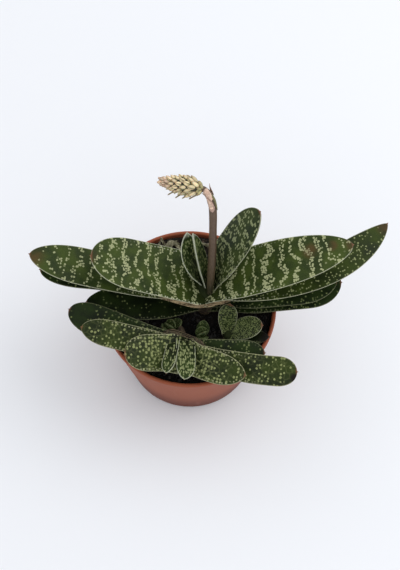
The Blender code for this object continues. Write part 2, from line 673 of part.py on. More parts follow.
def stub_hole(name, home):
    """The plain hole that an offset's stub stands in."""
    x, y = OFFSETS[name]["foot"]
    ground = float(soil_height(np.array(x), np.array(y)))
    depth = OFFSET_STUB_DEPTH + GAP
    bpy.ops.mesh.primitive_cylinder_add(vertices=12, radius=OFFSET_STUB_RADIUS + GAP, depth=2 * depth,
                                        location=(x, y, ground))
    hole = as_helper(bpy.context.object)
    hole.name = f"{name}_hole"
    for used in hole.users_collection:
        used.objects.unlink(hole)
    home.objects.link(hole)
    return hole


def main():
    clear_scene()
    parts = collection("gasteria")
    cutters = collection("cutters")
    cutters.hide_render = True
    make_pot(parts, cutters)
    soil = make_soil(parts)
    clearances = {}
    for name in CROWNS:
        crown_shape(name, f"crown_{name}", parts, finish_name="stem_brown")
        clearances[name] = as_helper(crown_shape(name, f"crown_{name}_space", cutters, grow=1.6 * GAP))
    for name in OFFSETS:
        stub_hole(name, cutters)
        make_offset(name, parts)
    boolean(soil, "DIFFERENCE", cutters)
    spaces = collection("leaf_spaces")
    spaces.hide_render = True
    make_leaves(parts, clearances, spaces)
    make_stalk(parts, clearances, spaces)
    make_bud_head(parts)


main()
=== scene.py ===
"""The looks of a gasteria in a shallow plastic pot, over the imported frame.

Metres, +Z up, -Y towards the viewer. The origin is the centre of the pot's underside.
"""

import math

import bpy
import numpy as np
from mathutils import Matrix, Vector


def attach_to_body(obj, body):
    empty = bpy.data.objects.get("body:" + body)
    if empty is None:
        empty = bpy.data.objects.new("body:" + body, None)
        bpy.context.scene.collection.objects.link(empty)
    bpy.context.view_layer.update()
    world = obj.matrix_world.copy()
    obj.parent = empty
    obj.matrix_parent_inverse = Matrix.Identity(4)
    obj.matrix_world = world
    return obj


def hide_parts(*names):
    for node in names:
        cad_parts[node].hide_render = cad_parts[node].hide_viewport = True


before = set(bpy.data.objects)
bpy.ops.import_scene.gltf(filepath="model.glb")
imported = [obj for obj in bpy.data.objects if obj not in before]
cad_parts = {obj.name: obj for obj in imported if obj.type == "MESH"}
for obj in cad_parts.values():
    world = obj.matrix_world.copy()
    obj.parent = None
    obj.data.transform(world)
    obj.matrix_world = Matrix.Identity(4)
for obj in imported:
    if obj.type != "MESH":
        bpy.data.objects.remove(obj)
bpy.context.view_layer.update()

# The table top and the air round it: a plain pale surface under an overcast sky, as in a light tent.
# A broad soft lamp stands to the right of the plant, so the floor is lighter there than on its left.

TABLE_WHITE = "EDF0F4"
TABLE_REACH = 3.0
TABLE_BELOW_POT = 0.00005
SKY_WHITE = "FDFDFF"
SKY_STRENGTH = 0.94
LAMP_PLACE = (0.75, 0.15, 1.10)
LAMP_SIZE = 1.10
LAMP_WATTS = 4.5
VIEW_TARGET = (0.0072, 0.0, 0.1079)
VIEW_ELEVATION = math.radians(63.2)
VIEW_DISTANCE = 1.0
VIEW_LENS_MM = 93.9
VIEW_SENSOR_MM = 36.0


def linear(hex_colour):
    """The linear RGBA of an sRGB hex colour."""
    channels = [int(hex_colour[i:i + 2], 16) / 255 for i in (0, 2, 4)]
    return [c / 12.92 if c <= 0.04045 else ((c + 0.055) / 1.055) ** 2.4 for c in channels] + [1.0]


def feed(node, inputs):
    """Gives a node's inputs their values, or the outputs that feed them: by name or number, or in order."""
    for name, value in inputs.items() if isinstance(inputs, dict) else enumerate(inputs):
        if isinstance(value, bpy.types.NodeSocket):
            node.id_data.links.new(value, node.inputs[name])
        else:
            node.inputs[name].default_value = value


def add_node(tree, kind, inputs=(), out=0, **settings):
    """Adds a shader node with its own settings, feeds its inputs and returns one of its outputs."""
    node = tree.nodes.new("ShaderNode" + kind)
    for option, value in settings.items():
        setattr(node, option, value)
    feed(node, inputs)
    return node.outputs[out]


def new_material(name):
    """An empty material, its node tree and its surface shader."""
    made = bpy.data.materials.new(name)
    made.use_nodes = True
    return made, made.node_tree, made.node_tree.nodes["Principled BSDF"]


def grid_faces(rows, columns, closed=True, ends=(True, True)):
    """The faces over a grid of points counted row by row: quads, triangles, and each corner's row and column.

    closed joins the last column to the first. ends closes the first and last rows with triangles to their
    middles, which are counted after the grid's own points."""
    around = np.arange(columns if closed else columns - 1)
    i, j = (part.ravel() for part in np.meshgrid(np.arange(rows - 1), around, indexing="ij"))
    after = (j + 1) % columns
    this_row, next_row = i * columns, (i + 1) * columns
    quads = np.stack([this_row + j, this_row + after, next_row + after, next_row + j], 1)
    corner_rows = [np.stack([i, i, i + 1, i + 1], 1).ravel()]
    corner_columns = [np.stack([j, j + 1, j + 1, j], 1).ravel()]
    triangles = [np.zeros((0, 3), int)]
    middle = rows * columns
    for row, wanted in ((0, ends[0]), (rows - 1, ends[1])):
        if not wanted:
            continue
        near, far = (around + 1, around) if row == 0 else (around, around + 1)
        triangles.append(np.stack([np.full(len(around), middle), row * columns + near % columns,
                                   row * columns + far % columns], 1))
        corner_rows.append(np.full(3 * len(around), row))
        corner_columns.append(np.stack([around + 0.5, near, far], 1).ravel())
        middle += 1
    return quads, np.concatenate(triangles), np.concatenate(corner_rows), np.concatenate(corner_columns)


def smooth_mesh(name, points, quads, triangles):
    """A smooth-shaded mesh of points and faces."""
    mesh = bpy.data.meshes.new(name)
    mesh.from_pydata(points.tolist(), [], quads.tolist() + triangles.tolist())
    mesh.polygons.foreach_set("use_smooth", np.ones(len(mesh.polygons), bool))
    mesh.update()
    return mesh


def surface(name, grid, closed=True, ends=(True, True)):
    """A mesh over a grid of points, (rows, columns, 3), closed as grid_faces says. It faces outwards where
    the columns run anticlockwise seen from the last row."""
    quads, triangles, _, _ = grid_faces(*grid.shape[:2], closed, ends)
    middles = [grid[row].mean(0) for row, wanted in ((0, ends[0]), (-1, ends[1])) if wanted]
    return smooth_mesh(name, np.vstack([grid.reshape(-1, 3), *middles]), quads, triangles)


def place(name, mesh, material, slot=None, node=None):
    """Puts a piece in the scene on the part's one body, standing for the CAD node that it replaces."""
    piece = bpy.data.objects.new(name, mesh)
    bpy.context.scene.collection.objects.link(piece)
    mesh.materials.clear()
    mesh.materials.append(material)
    if slot:
        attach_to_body(piece, "root")
    if node:
        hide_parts(node)
    return piece


def make_table():
    """A level square sheet of matt laminate, 6 m wide."""
    material, _, shader = new_material("matt_white_laminate")
    feed(shader, {"Base Color": linear(TABLE_WHITE), "Roughness": 0.9, "Specular IOR Level": 0.2})
    x, y = np.meshgrid([-TABLE_REACH, TABLE_REACH], [-TABLE_REACH, TABLE_REACH])
    top = np.stack([x, y, 0 * x - TABLE_BELOW_POT], 2)
    place("table_top", surface("table_top", top, closed=False, ends=(False, False)), material)


make_table()

world = bpy.data.worlds.new("overcast")
world.use_nodes = True
feed(world.node_tree.nodes["Background"], {"Color": linear(SKY_WHITE), "Strength": SKY_STRENGTH})
bpy.context.scene.world = world
bpy.context.scene.view_settings.view_transform = "Standard"

lamp_data = bpy.data.lights.new("soft_lamp", "AREA")
lamp_data.shape = "DISK"
lamp_data.size = LAMP_SIZE
lamp_data.energy = LAMP_WATTS
lamp = bpy.data.objects.new("soft_lamp", lamp_data)
lamp.location = LAMP_PLACE
lamp.rotation_euler = (Vector(VIEW_TARGET) - Vector(LAMP_PLACE)).to_track_quat("-Z", "Y").to_euler()
bpy.context.scene.collection.objects.link(lamp)

camera_data = bpy.data.cameras.new("camera")
camera_data.lens = VIEW_LENS_MM
camera_data.sensor_width = VIEW_SENSOR_MM
camera = bpy.data.objects.new("camera", camera_data)
camera.location = Vector(VIEW_TARGET) + VIEW_DISTANCE * Vector(
    (0, -math.cos(VIEW_ELEVATION), math.sin(VIEW_ELEVATION)))
camera.rotation_euler = (math.pi / 2 - VIEW_ELEVATION, 0, 0)
bpy.context.scene.collection.objects.link(camera)
bpy.context.scene.camera = camera

# The pot: injection-moulded polypropylene, brick red, with a thick rolled lip and a drained floor. It is
# matt and a little chalky, scuffed paler in upright streaks, and stained darker at the foot.

POT_RIM_RADIUS = 0.060
POT_NECK_RADIUS = 0.0590
POT_BASE_RADIUS = 0.0445
POT_HEIGHT = 0.075
POT_WALL = 0.0016
POT_FLOOR = 0.0030
POT_LIP_WIDTH = 0.0026
POT_LIP_DEPTH = 0.0045
POT_LIP_EDGE = 0.0005
POT_FOOT_ROUND = 0.0030
POT_WALL_FROM = 0.006
POT_WALL_SHORT = 0.0004
POT_AXIS_GAP = 0.00001
POT_STEPS = 180
CHANNEL_INNER = 0.012
CHANNEL_OUTER = 0.037
CHANNEL_DEPTH = 0.0010
DRAIN_HOLES = 6
DRAIN_STEPS = 28
DRAIN_RADIUS = 0.0038
DRAIN_CIRCLE = 0.0260
POT_REDS = ("85452D", "9C563B")
POT_DAMP_RED = "683222"
POT_DAMP_HEIGHTS = (0.004, 0.040)
POT_SCUFF_PINK = "A8705A"
POT_CLOUD_MM = 35.71
POT_STREAK_MM = 6.25
POT_GRAIN_MM = 1.1111
POT_GRAIN_RELIEF = 0.0002

# What a Mix of two colours and a MapRange with a rounded slope are told.
COLOURS = {"out": 2, "data_type": "RGBA"}
SMOOTH = {"interpolation_type": "SMOOTHSTEP"}


def wall_radius(z):
    """The outer radius of the pot's straight tapered wall at a height."""
    return POT_BASE_RADIUS + (POT_NECK_RADIUS - POT_BASE_RADIUS) * z / (POT_HEIGHT - POT_LIP_DEPTH)


def carried_round(profile, steps):
    """The grid of a profile, rows of radius and height, carried round Z."""
    turn = np.linspace(0, 2 * math.pi, steps, endpoint=False)
    radius, height = np.array(profile, float).T
    return np.stack([radius[:, None] * np.cos(turn), radius[:, None] * np.sin(turn),
                     np.repeat(height[:, None], steps, 1)], 2)


def pot_profile():
    """From the middle of the underside, out over the channel, round the foot, up the wall, over the half
    round of the lip, and down inside to the middle of the floor."""
    points = [(POT_AXIS_GAP, 0), (CHANNEL_INNER, 0), (CHANNEL_INNER, CHANNEL_DEPTH),
              (CHANNEL_OUTER, CHANNEL_DEPTH), (CHANNEL_OUTER, 0)]
    centre = wall_radius(POT_FOOT_ROUND) - POT_FOOT_ROUND
    for angle in np.linspace(math.pi / 2, 0, 7):
        points.append((centre + POT_FOOT_ROUND * math.cos(angle), POT_FOOT_ROUND * (1 - math.sin(angle))))
    neck = POT_HEIGHT - POT_LIP_DEPTH
    points += [(wall_radius(z), z) for z in np.linspace(POT_WALL_FROM, neck - POT_WALL_SHORT, 12)]
    points += [(POT_NECK_RADIUS, neck), (POT_RIM_RADIUS - POT_LIP_EDGE, neck + 0.2 * POT_LIP_EDGE),
               (POT_RIM_RADIUS - 0.4 * POT_LIP_EDGE, neck + POT_LIP_EDGE)]
    round_over = POT_LIP_WIDTH / 2
    middle = POT_RIM_RADIUS - round_over
    for angle in np.linspace(0, math.pi, 13):
        points.append((middle + round_over * math.cos(angle),
                       POT_HEIGHT - round_over + round_over * math.sin(angle)))
    points += [(wall_radius(z) - POT_WALL, z) for z in np.linspace(neck, POT_FLOOR, 10)]
    points.append((POT_AXIS_GAP, POT_FLOOR))
    return points


def pot_plastic():
    """Moulded polypropylene: warm brick red, its colour uneven by a few per cent, paler where it is scuffed
    and darker in a band at the foot, where it stood in damp. Its grain is drawn as coarse as it shows."""
    material, tree, shader = new_material("moulded_polypropylene")
    place_at = add_node(tree, "TexCoord", out="Object")
    cloud = add_node(tree, "TexNoise", {"Vector": place_at, "Scale": 1000 / POT_CLOUD_MM, "Detail": 5.0,
                                        "Roughness": 0.6})
    upright = add_node(tree, "VectorMath", (place_at, (1.0, 1.0, 0.12)), operation="MULTIPLY")
    streaks = add_node(tree, "TexNoise", {"Vector": upright, "Scale": 1000 / POT_STREAK_MM, "Detail": 3.0})
    grain = add_node(tree, "TexNoise", {"Vector": place_at, "Scale": 1000 / POT_GRAIN_MM, "Detail": 2.0})
    height = add_node(tree, "SeparateXYZ", (place_at,), out="Z")
    above_foot = add_node(tree, "MapRange", (height, *POT_DAMP_HEIGHTS), **SMOOTH)
    red = add_node(tree, "Mix", {0: cloud, 6: linear(POT_REDS[0]), 7: linear(POT_REDS[1])}, **COLOURS)
    damp = add_node(tree, "Mix", {0: above_foot, 6: linear(POT_DAMP_RED), 7: red}, **COLOURS)
    scuff = add_node(tree, "MapRange", (streaks, 0.60, 0.80, 0.0, 0.22))
    colour = add_node(tree, "Mix", {0: scuff, 6: damp, 7: linear(POT_SCUFF_PINK)}, **COLOURS)
    relief = add_node(tree, "Bump", {"Height": grain, "Strength": 0.25, "Distance": POT_GRAIN_RELIEF})
    feed(shader, {"Base Color": colour, "Normal": relief, "Roughness": 0.55, "Specular IOR Level": 0.18})
    return material


def make_pot():
    """The turned shell, with the drain holes cut through its floor."""
    shell = place("pot_shell", surface("pot_shell", carried_round(pot_profile(), POT_STEPS)), pot_plastic(),
                  "pot_plastic", "pot")
    for turn in 2 * math.pi * (np.arange(DRAIN_HOLES) + 0.5) / DRAIN_HOLES:
        drill = carried_round([(DRAIN_RADIUS, -POT_FLOOR), (DRAIN_RADIUS, 2 * POT_FLOOR)], DRAIN_STEPS)
        drill += np.array([DRAIN_CIRCLE * math.cos(turn), DRAIN_CIRCLE * math.sin(turn), 0])
        hole = bpy.data.objects.new("drain_hole", surface("drain_hole", drill))
        bpy.context.scene.collection.objects.link(hole)
        cut = shell.modifiers.new("drain", "BOOLEAN")
        cut.object = hole
        bpy.context.view_layer.update()
        cut_mesh = bpy.data.meshes.new_from_object(shell.evaluated_get(bpy.context.evaluated_depsgraph_get()))
        shell.modifiers.remove(cut)
        shell.data = cut_mesh
        bpy.data.objects.remove(hole, do_unlink=True)
    shell.data.polygons.foreach_set("use_smooth", np.ones(len(shell.data.polygons), bool))
    shell.data.set_sharp_from_angle(angle=math.radians(40))


make_pot()

# The soil: dark peat and bark with mineral grit, filled in and settled just under the lip, swelling round
# the plant and banked up at the back. Crumbs of bark, pumice and sand lie on it, and a few shed scraps.

SOIL_BELOW_RIM = 0.0060
SOIL_SWELL = 0.0015
SOIL_RELIEF = 0.0007
SOIL_BANK = 0.0028
SOIL_BANK_FROM = 0.66
SOIL_BANK_OVER = 0.28
SOIL_BANK_BACK = 0.030
SOIL_GAP = 0.0006
SOIL_ABOVE_FLOOR = 0.0003
SOIL_ROWS = 110
SOIL_COLUMNS = 300
LUMP_WAVES = 60
LUMP_HEIGHT = 0.00030
LUMP_FADE = 0.003
PEAT_BROWNS = ("0E0B08", "3A2F25")
PEAT_LUMP_MM = 2.381
PEAT_GRIT_MM = 1.0526
PEAT_RELIEF = 0.0008
# The soil's painted shade: where along Y it is darkest and where it ends, and the share of colour left at its
# darkest.
PAINTED_SHADE_FROM = -0.020
PAINTED_SHADE_TO = 0.035
PAINTED_SHADE_LIGHT = 0.20
CRUMBS = 1500
CRUMB_SEED = 11
CRUMB_SIZES = (0.0004, 0.0013)
CRUMB_INSIDE_WALL = 0.0020
CRUMB_COLOURS = ("1D1510", "2E221A", "40332A", "5B4C3D", "7D7161", "B7AD9C")
CRUMB_SHARES = (0.34, 0.28, 0.18, 0.10, 0.07, 0.03)
CRUMB_GRAIN_MM = 0.6667
CRUMB_RELIEF = 0.0003
CRUMB_CORNERS = 0.62
CRUMB_OUT_OF_TRUE = 0.13
CRUMB_STRETCH = (0.6, 1.3)
CRUMB_STANDS_OUT = 0.15
CRUMB_SHADE = (0.09, 1.05)
CRUMB_SHADE_FROM = -0.002
CRUMB_SHADE_OVER = 0.042
STEMS_CLEAR = [(0.0105, 0.0080, 0.013), (-0.0060, -0.0200, 0.010), (0.0265, -0.0215, 0.006)]
SCRAPS = [
    (-0.0150, 0.0480, 25, 0.013, 0.0034), (-0.0070, 0.0462, 150, 0.010, 0.0022),
    (-0.0225, 0.0455, 70, 0.010, 0.0024), (-0.0010, 0.0480, 100, 0.008, 0.0018),
    (-0.0115, 0.0500, -15, 0.009, 0.0020), (-0.0190, 0.0500, 120, 0.007, 0.0018),
    (0.0040, 0.0470, 40, 0.009, 0.0016), (-0.0135, 0.0445, 95, 0.008, 0.0018),
    (0.0100, 0.0490, 165, 0.007, 0.0018),
]
SCRAP_TANS = ("6F6852", "B9B69A")
SCRAP_VEIN_MM = 1.1111
SCRAP_THICKNESS = 0.00015
SCRAP_LIFT = 0.0018
SCRAP_CURL = 0.0022
SCRAP_TILT = 0.0016
SCRAP_RIPPLE = 0.0006


def smoothstep(values):
    """0 below 0 and 1 above 1, with a rounded slope between."""
    values = np.clip(values, 0, 1)
    return values * values * (3 - 2 * values)


def soil_height(x, y):
    """The soil's surface: level under the lip, swelling towards the middle and banked up against the wall
    at the back, with low uneven relief from waves 19 to 37 mm long."""
    away = np.hypot(x, y) / POT_RIM_RADIUS
    bank = SOIL_BANK * smoothstep((away - SOIL_BANK_FROM) / SOIL_BANK_OVER) * smoothstep(y / SOIL_BANK_BACK)
    relief = np.sin(x * 210 + 1.3) * np.cos(y * 170 + 0.4) + 0.6 * np.sin((x - y) * 330)
    return POT_HEIGHT - SOIL_BELOW_RIM + SOIL_SWELL * (1 - away ** 2) + SOIL_RELIEF * relief + bank


def soil_grid():
    """The soil's top over rings and spokes, lumpy by sums of waves 3 to 21 mm long that fade out at the
    wall, then down the wall to the floor."""
    draw = np.random.default_rng(CRUMB_SEED)
    outer = wall_radius(POT_HEIGHT - SOIL_BELOW_RIM) - POT_WALL - SOIL_GAP
    rings = (np.linspace(1, 0.004, SOIL_ROWS) ** 0.8 * outer)[:, None]
    turn = np.linspace(0, 2 * math.pi, SOIL_COLUMNS, endpoint=False)
    x, y = rings * np.cos(turn), rings * np.sin(turn)
    lumps = np.zeros_like(x)
    for _ in range(LUMP_WAVES):
        way = draw.uniform(0, math.pi)
        per_metre = draw.uniform(300, 1900)
        lumps += np.sin((x * math.cos(way) + y * math.sin(way)) * per_metre + draw.uniform(0, 7)) / 8
    z = soil_height(x, y) + LUMP_HEIGHT * lumps * np.clip((outer - rings) / LUMP_FADE, 0, 1)
    low = POT_FLOOR + SOIL_ABOVE_FLOOR
    floor_radius = wall_radius(low) - POT_WALL - SOIL_GAP
    foot = np.stack([floor_radius * np.cos(turn), floor_radius * np.sin(turn), np.full_like(turn, low)], 1)
    return np.concatenate([foot[None], np.stack([x, y, z], 2)])


def earth():
    """Damp peat: near black brown, matt, with paler fibres and a crumbly bump of under a millimetre. It is
    painted darker in front, as the shade under the leaves."""
    material, tree, shader = new_material("damp_peat")
    place_at = add_node(tree, "TexCoord", out="Object")
    lumps = add_node(tree, "TexNoise", {"Vector": place_at, "Scale": 1000 / PEAT_LUMP_MM, "Detail": 6.0,
                                        "Roughness": 0.7})
    grit = add_node(tree, "TexVoronoi", {"Vector": place_at, "Scale": 1000 / PEAT_GRIT_MM})
    pale = add_node(tree, "MapRange", (lumps, 0.45, 0.75))
    brown = add_node(tree, "Mix", {0: pale, 6: linear(PEAT_BROWNS[0]), 7: linear(PEAT_BROWNS[1])}, **COLOURS)
    # Painted shade: the peat's colour is darkened towards the front, where the leaves shade it.
    backward = add_node(tree, "SeparateXYZ", (place_at,), out="Y")
    painted_shade = add_node(tree, "MapRange", (backward, PAINTED_SHADE_FROM, PAINTED_SHADE_TO, PAINTED_SHADE_LIGHT))
    colour = add_node(tree, "VectorMath", {0: brown, "Scale": painted_shade}, operation="SCALE")
    height = add_node(tree, "Math", (lumps, grit), operation="ADD")
    relief = add_node(tree, "Bump", {"Height": height, "Strength": 0.9, "Distance": PEAT_RELIEF})
    feed(shader, {"Base Color": colour, "Normal": relief, "Roughness": 0.95, "Specular IOR Level": 0.25})
    return material


def bark_and_grit():
    """Loose bark and mineral crumbs: each one's colour is in the mesh, and the surface is dusty."""
    material, tree, shader = new_material("bark_and_grit")
    tint = add_node(tree, "Attribute", out="Color", attribute_name="tint")
    place_at = add_node(tree, "TexCoord", out="Object")
    cloud = add_node(tree, "TexNoise", {"Vector": place_at, "Scale": 1000 / CRUMB_GRAIN_MM, "Detail": 4.0})
    shade = add_node(tree, "MapRange", (cloud, 0.0, 1.0, 0.6, 1.3))
    colour = add_node(tree, "VectorMath", {0: tint, "Scale": shade}, operation="SCALE")
    relief = add_node(tree, "Bump", {"Height": cloud, "Strength": 0.5, "Distance": CRUMB_RELIEF})
    feed(shader, {"Base Color": colour, "Normal": relief, "Roughness": 0.85})
    return material


def paint(mesh, colours):
    """Keeps a linear colour for each vertex in the mesh, as the attribute tint."""
    layer = mesh.color_attributes.new("tint", "FLOAT_COLOR", "POINT")
    layer.data.foreach_set("color", np.asarray(colours, np.float32).ravel())


def turned(angles):
    """The matrices that turn points by rows of angles about X, then Y, then Z."""
    (cx, cy, cz), (sx, sy, sz) = np.cos(angles).T, np.sin(angles).T
    return np.stack([cy * cz, sx * sy * cz - cx * sz, cx * sy * cz + sx * sz,
                     cy * sz, sx * sy * sz + cx * cz, cx * sy * sz - sx * cz,
                     -sy, sx * cy, cx * cy], 1).reshape(-1, 3, 3)


def make_crumbs():
    """Crumbs: a cube's corners and face middles thrown out of true, turned at random, and sunk in the soil.
    Each is four triangles to a face. They keep clear of the stems, and those in front are shaded."""
    draw = np.random.default_rng(CRUMB_SEED + 1)
    corners = np.array([(x, y, z) for x in (-1, 1) for y in (-1, 1) for z in (-1, 1)], float) * CRUMB_CORNERS
    middles = np.array([(1, 0, 0), (-1, 0, 0), (0, 1, 0), (0, -1, 0), (0, 0, 1), (0, 0, -1)], float)
    shape = np.vstack([corners, middles])
    rings = {8: (4, 6, 7, 5), 9: (0, 1, 3, 2), 10: (2, 3, 7, 6), 11: (0, 4, 5, 1), 12: (1, 5, 7, 3),
             13: (0, 2, 6, 4)}
    one = np.array([(middle, ring[k], ring[(k + 1) % 4]) for middle, ring in rings.items() for k in range(4)])
    reach = wall_radius(POT_HEIGHT - SOIL_BELOW_RIM) - POT_WALL - CRUMB_INSIDE_WALL
    away = reach * np.sqrt(draw.uniform(0, 1, CRUMBS))
    turn = draw.uniform(0, 2 * math.pi, CRUMBS)
    x, y = away * np.cos(turn), away * np.sin(turn)
    size = CRUMB_SIZES[0] + CRUMB_SIZES[1] * draw.uniform(0, 1, CRUMBS) ** 2.2
    keep = np.ones(CRUMBS, bool)
    for stem_x, stem_y, radius in STEMS_CLEAR:
        keep &= np.hypot(x - stem_x, y - stem_y) > radius
    x, y, size = x[keep], y[keep], size[keep]
    count = len(x)
    stretch = draw.uniform(*CRUMB_STRETCH, (count, 1, 3)) * size[:, None, None]
    thrown = (shape[None] + draw.normal(0, CRUMB_OUT_OF_TRUE, (count, len(shape), 3))) * stretch
    centres = np.stack([x, y, soil_height(x, y) + CRUMB_STANDS_OUT * size], 1)
    turns = turned(draw.uniform(0, 6.28, (count, 3)))
    points = np.einsum("nij,nkj->nki", turns, thrown) + centres[:, None]
    faces = (one[None] + len(shape) * np.arange(count)[:, None, None]).reshape(-1, 3)
    mesh = bpy.data.meshes.new("soil_crumbs")
    mesh.from_pydata(points.reshape(-1, 3).tolist(), [], faces.tolist())
    palette = np.array([linear(colour) for colour in CRUMB_COLOURS])
    which = draw.choice(len(palette), count, p=CRUMB_SHARES)
    shade = CRUMB_SHADE[0] + CRUMB_SHADE[1] * smoothstep((y - CRUMB_SHADE_FROM) / CRUMB_SHADE_OVER)
    shaded = palette[which] * np.column_stack([shade, shade, shade, 0 * shade + 1])
    paint(mesh, np.repeat(shaded, len(shape), 0))
    place("soil_crumbs", mesh, bark_and_grit(), "soil")


def dry_scrap():
    """Shed leaf skin: papery, pale tan with browner veins."""
    material, tree, shader = new_material("dry_leaf_scrap")
    place_at = add_node(tree, "TexCoord", out="Object")
    cloud = add_node(tree, "TexNoise", {"Vector": place_at, "Scale": 1000 / SCRAP_VEIN_MM, "Detail": 4.0})
    share = add_node(tree, "MapRange", (cloud, 0.35, 0.65))
    colour = add_node(tree, "Mix", {0: share, 6: linear(SCRAP_TANS[0]), 7: linear(SCRAP_TANS[1])}, **COLOURS)
    feed(shader, {"Base Color": colour, "Roughness": 0.8})
    return material


def make_scraps():
    """Scraps over their length and width: narrow sheets that curl up at both sides, tilt and ripple along,
    two-sided. Each of SCRAPS is its place, turn in degrees, length and width."""
    draw = np.random.default_rng(CRUMB_SEED + 2)
    paper = dry_scrap()
    for index, (x, y, turn, length, width) in enumerate(SCRAPS):
        t, w = np.meshgrid(np.linspace(-1, 1, 18), np.linspace(-1, 1, 9), indexing="ij")
        half = width / 2 * np.sqrt(np.clip(1.02 - t ** 2, 0, 1)) * (1 + 0.2 * np.sin(5 * t + index))
        along, aside = t * length / 2, w * half
        lift = (SCRAP_LIFT + SCRAP_CURL * w ** 2 + SCRAP_TILT * t * draw.uniform(0.4, 1)
                + SCRAP_RIPPLE * np.sin(4 * t + 2 * w))
        angle = math.radians(turn)
        px = x + along * math.cos(angle) - aside * math.sin(angle)
        py = y + along * math.sin(angle) + aside * math.cos(angle)
        sheet = np.stack([px, py, soil_height(px, py) + lift], 2)
        back = sheet - np.array([0, 0, SCRAP_THICKNESS])
        both = np.concatenate([sheet, back[:, ::-1]], 1)[:, ::-1]
        place(f"soil_scrap_{index + 1}", surface(f"soil_scrap_{index + 1}", both), paper, "soil")


place("soil_surface", surface("soil_surface", soil_grid()), earth(), "soil", "soil")
make_scraps()
make_crumbs()

# The leaves: thick waxy straps in two opposite rows on each short stem. The skin is dark green with pale
# raised flecks, gathered in cross bands on the big leaves and strewn on the small ones. A hard pale rim
# runs round each blade to a short brown point.

LEAF_ROWS = 84
LEAF_COLUMNS = 56
LEFT_RIM, RIGHT_RIM = 0, LEAF_COLUMNS // 2
SPINE_STEPS = 240
UPPER_SHARE = 0.20
MARGIN_HALF = 0.0004
ROOT_THICKNESS = 0.45
FULL_THICKNESS_FROM = 0.35
TIP_THINNING = 0.30
TIP_POWER = 2.4
POINT_LENGTH = 0.0009
POINT_HALF = 0.0004
TIP_FLECKS = 0.45
ROOT_LIGHT = 0.40
SHADED_SHARE = 0.30
FLECKS_THIN = (0.03, 0.20)
SKIN_APART = (0.37, 0.23)

# The skin's patterns: how far apart their cells or clouds stand in millimetres, and in metres the zones
# of a leaf that they keep to, counted from its root or from its rim. The real skin's pores are too fine to
# show, so FINE_MM is as coarse as a pixel of the render.
EDGE_SHAKE_MM = 0.90909
EDGE_SHAKE_BY = 0.0007
PATCH_MM = 7.6923
DRIFT_MM = 16.667
HAZE_MM = 13.333
FINE_MM = 0.66667
BEAD_MM = 2.3256
BAND_PITCH = 0.0090
BAND_SWAY = 15.0
WORM_ZONE = (0.012, 0.030)
BEAD_ZONE = (0.040, 0.065)
BEAD_REACH = (0.0016, 0.0030)
FLECK_RELIEF = 0.00022
FLECK_STRENGTH = 0.88
BLUSH_RED = "5A3024"
POINT_BROWN = "7A4E38"
DEAD_BLACK = "14100C"

# Each crown: where its foot stands, how many degrees it leans to the front, its length, and its half widths
# from side to side and, before it leans, from front to back.
CROWNS = {
    "main": dict(foot=(0.0105, 0.0080, 0.058), lean=0, length=0.040, half=(0.0080, 0.0125)),
    "front": dict(foot=(-0.0060, -0.0132, 0.0635), lean=52, length=0.0355, half=(0.0036, 0.0100)),
    "side": dict(foot=(0.0265, -0.0215, 0.060), lean=0, length=0.018, half=(0.0035, 0.0045)),
}
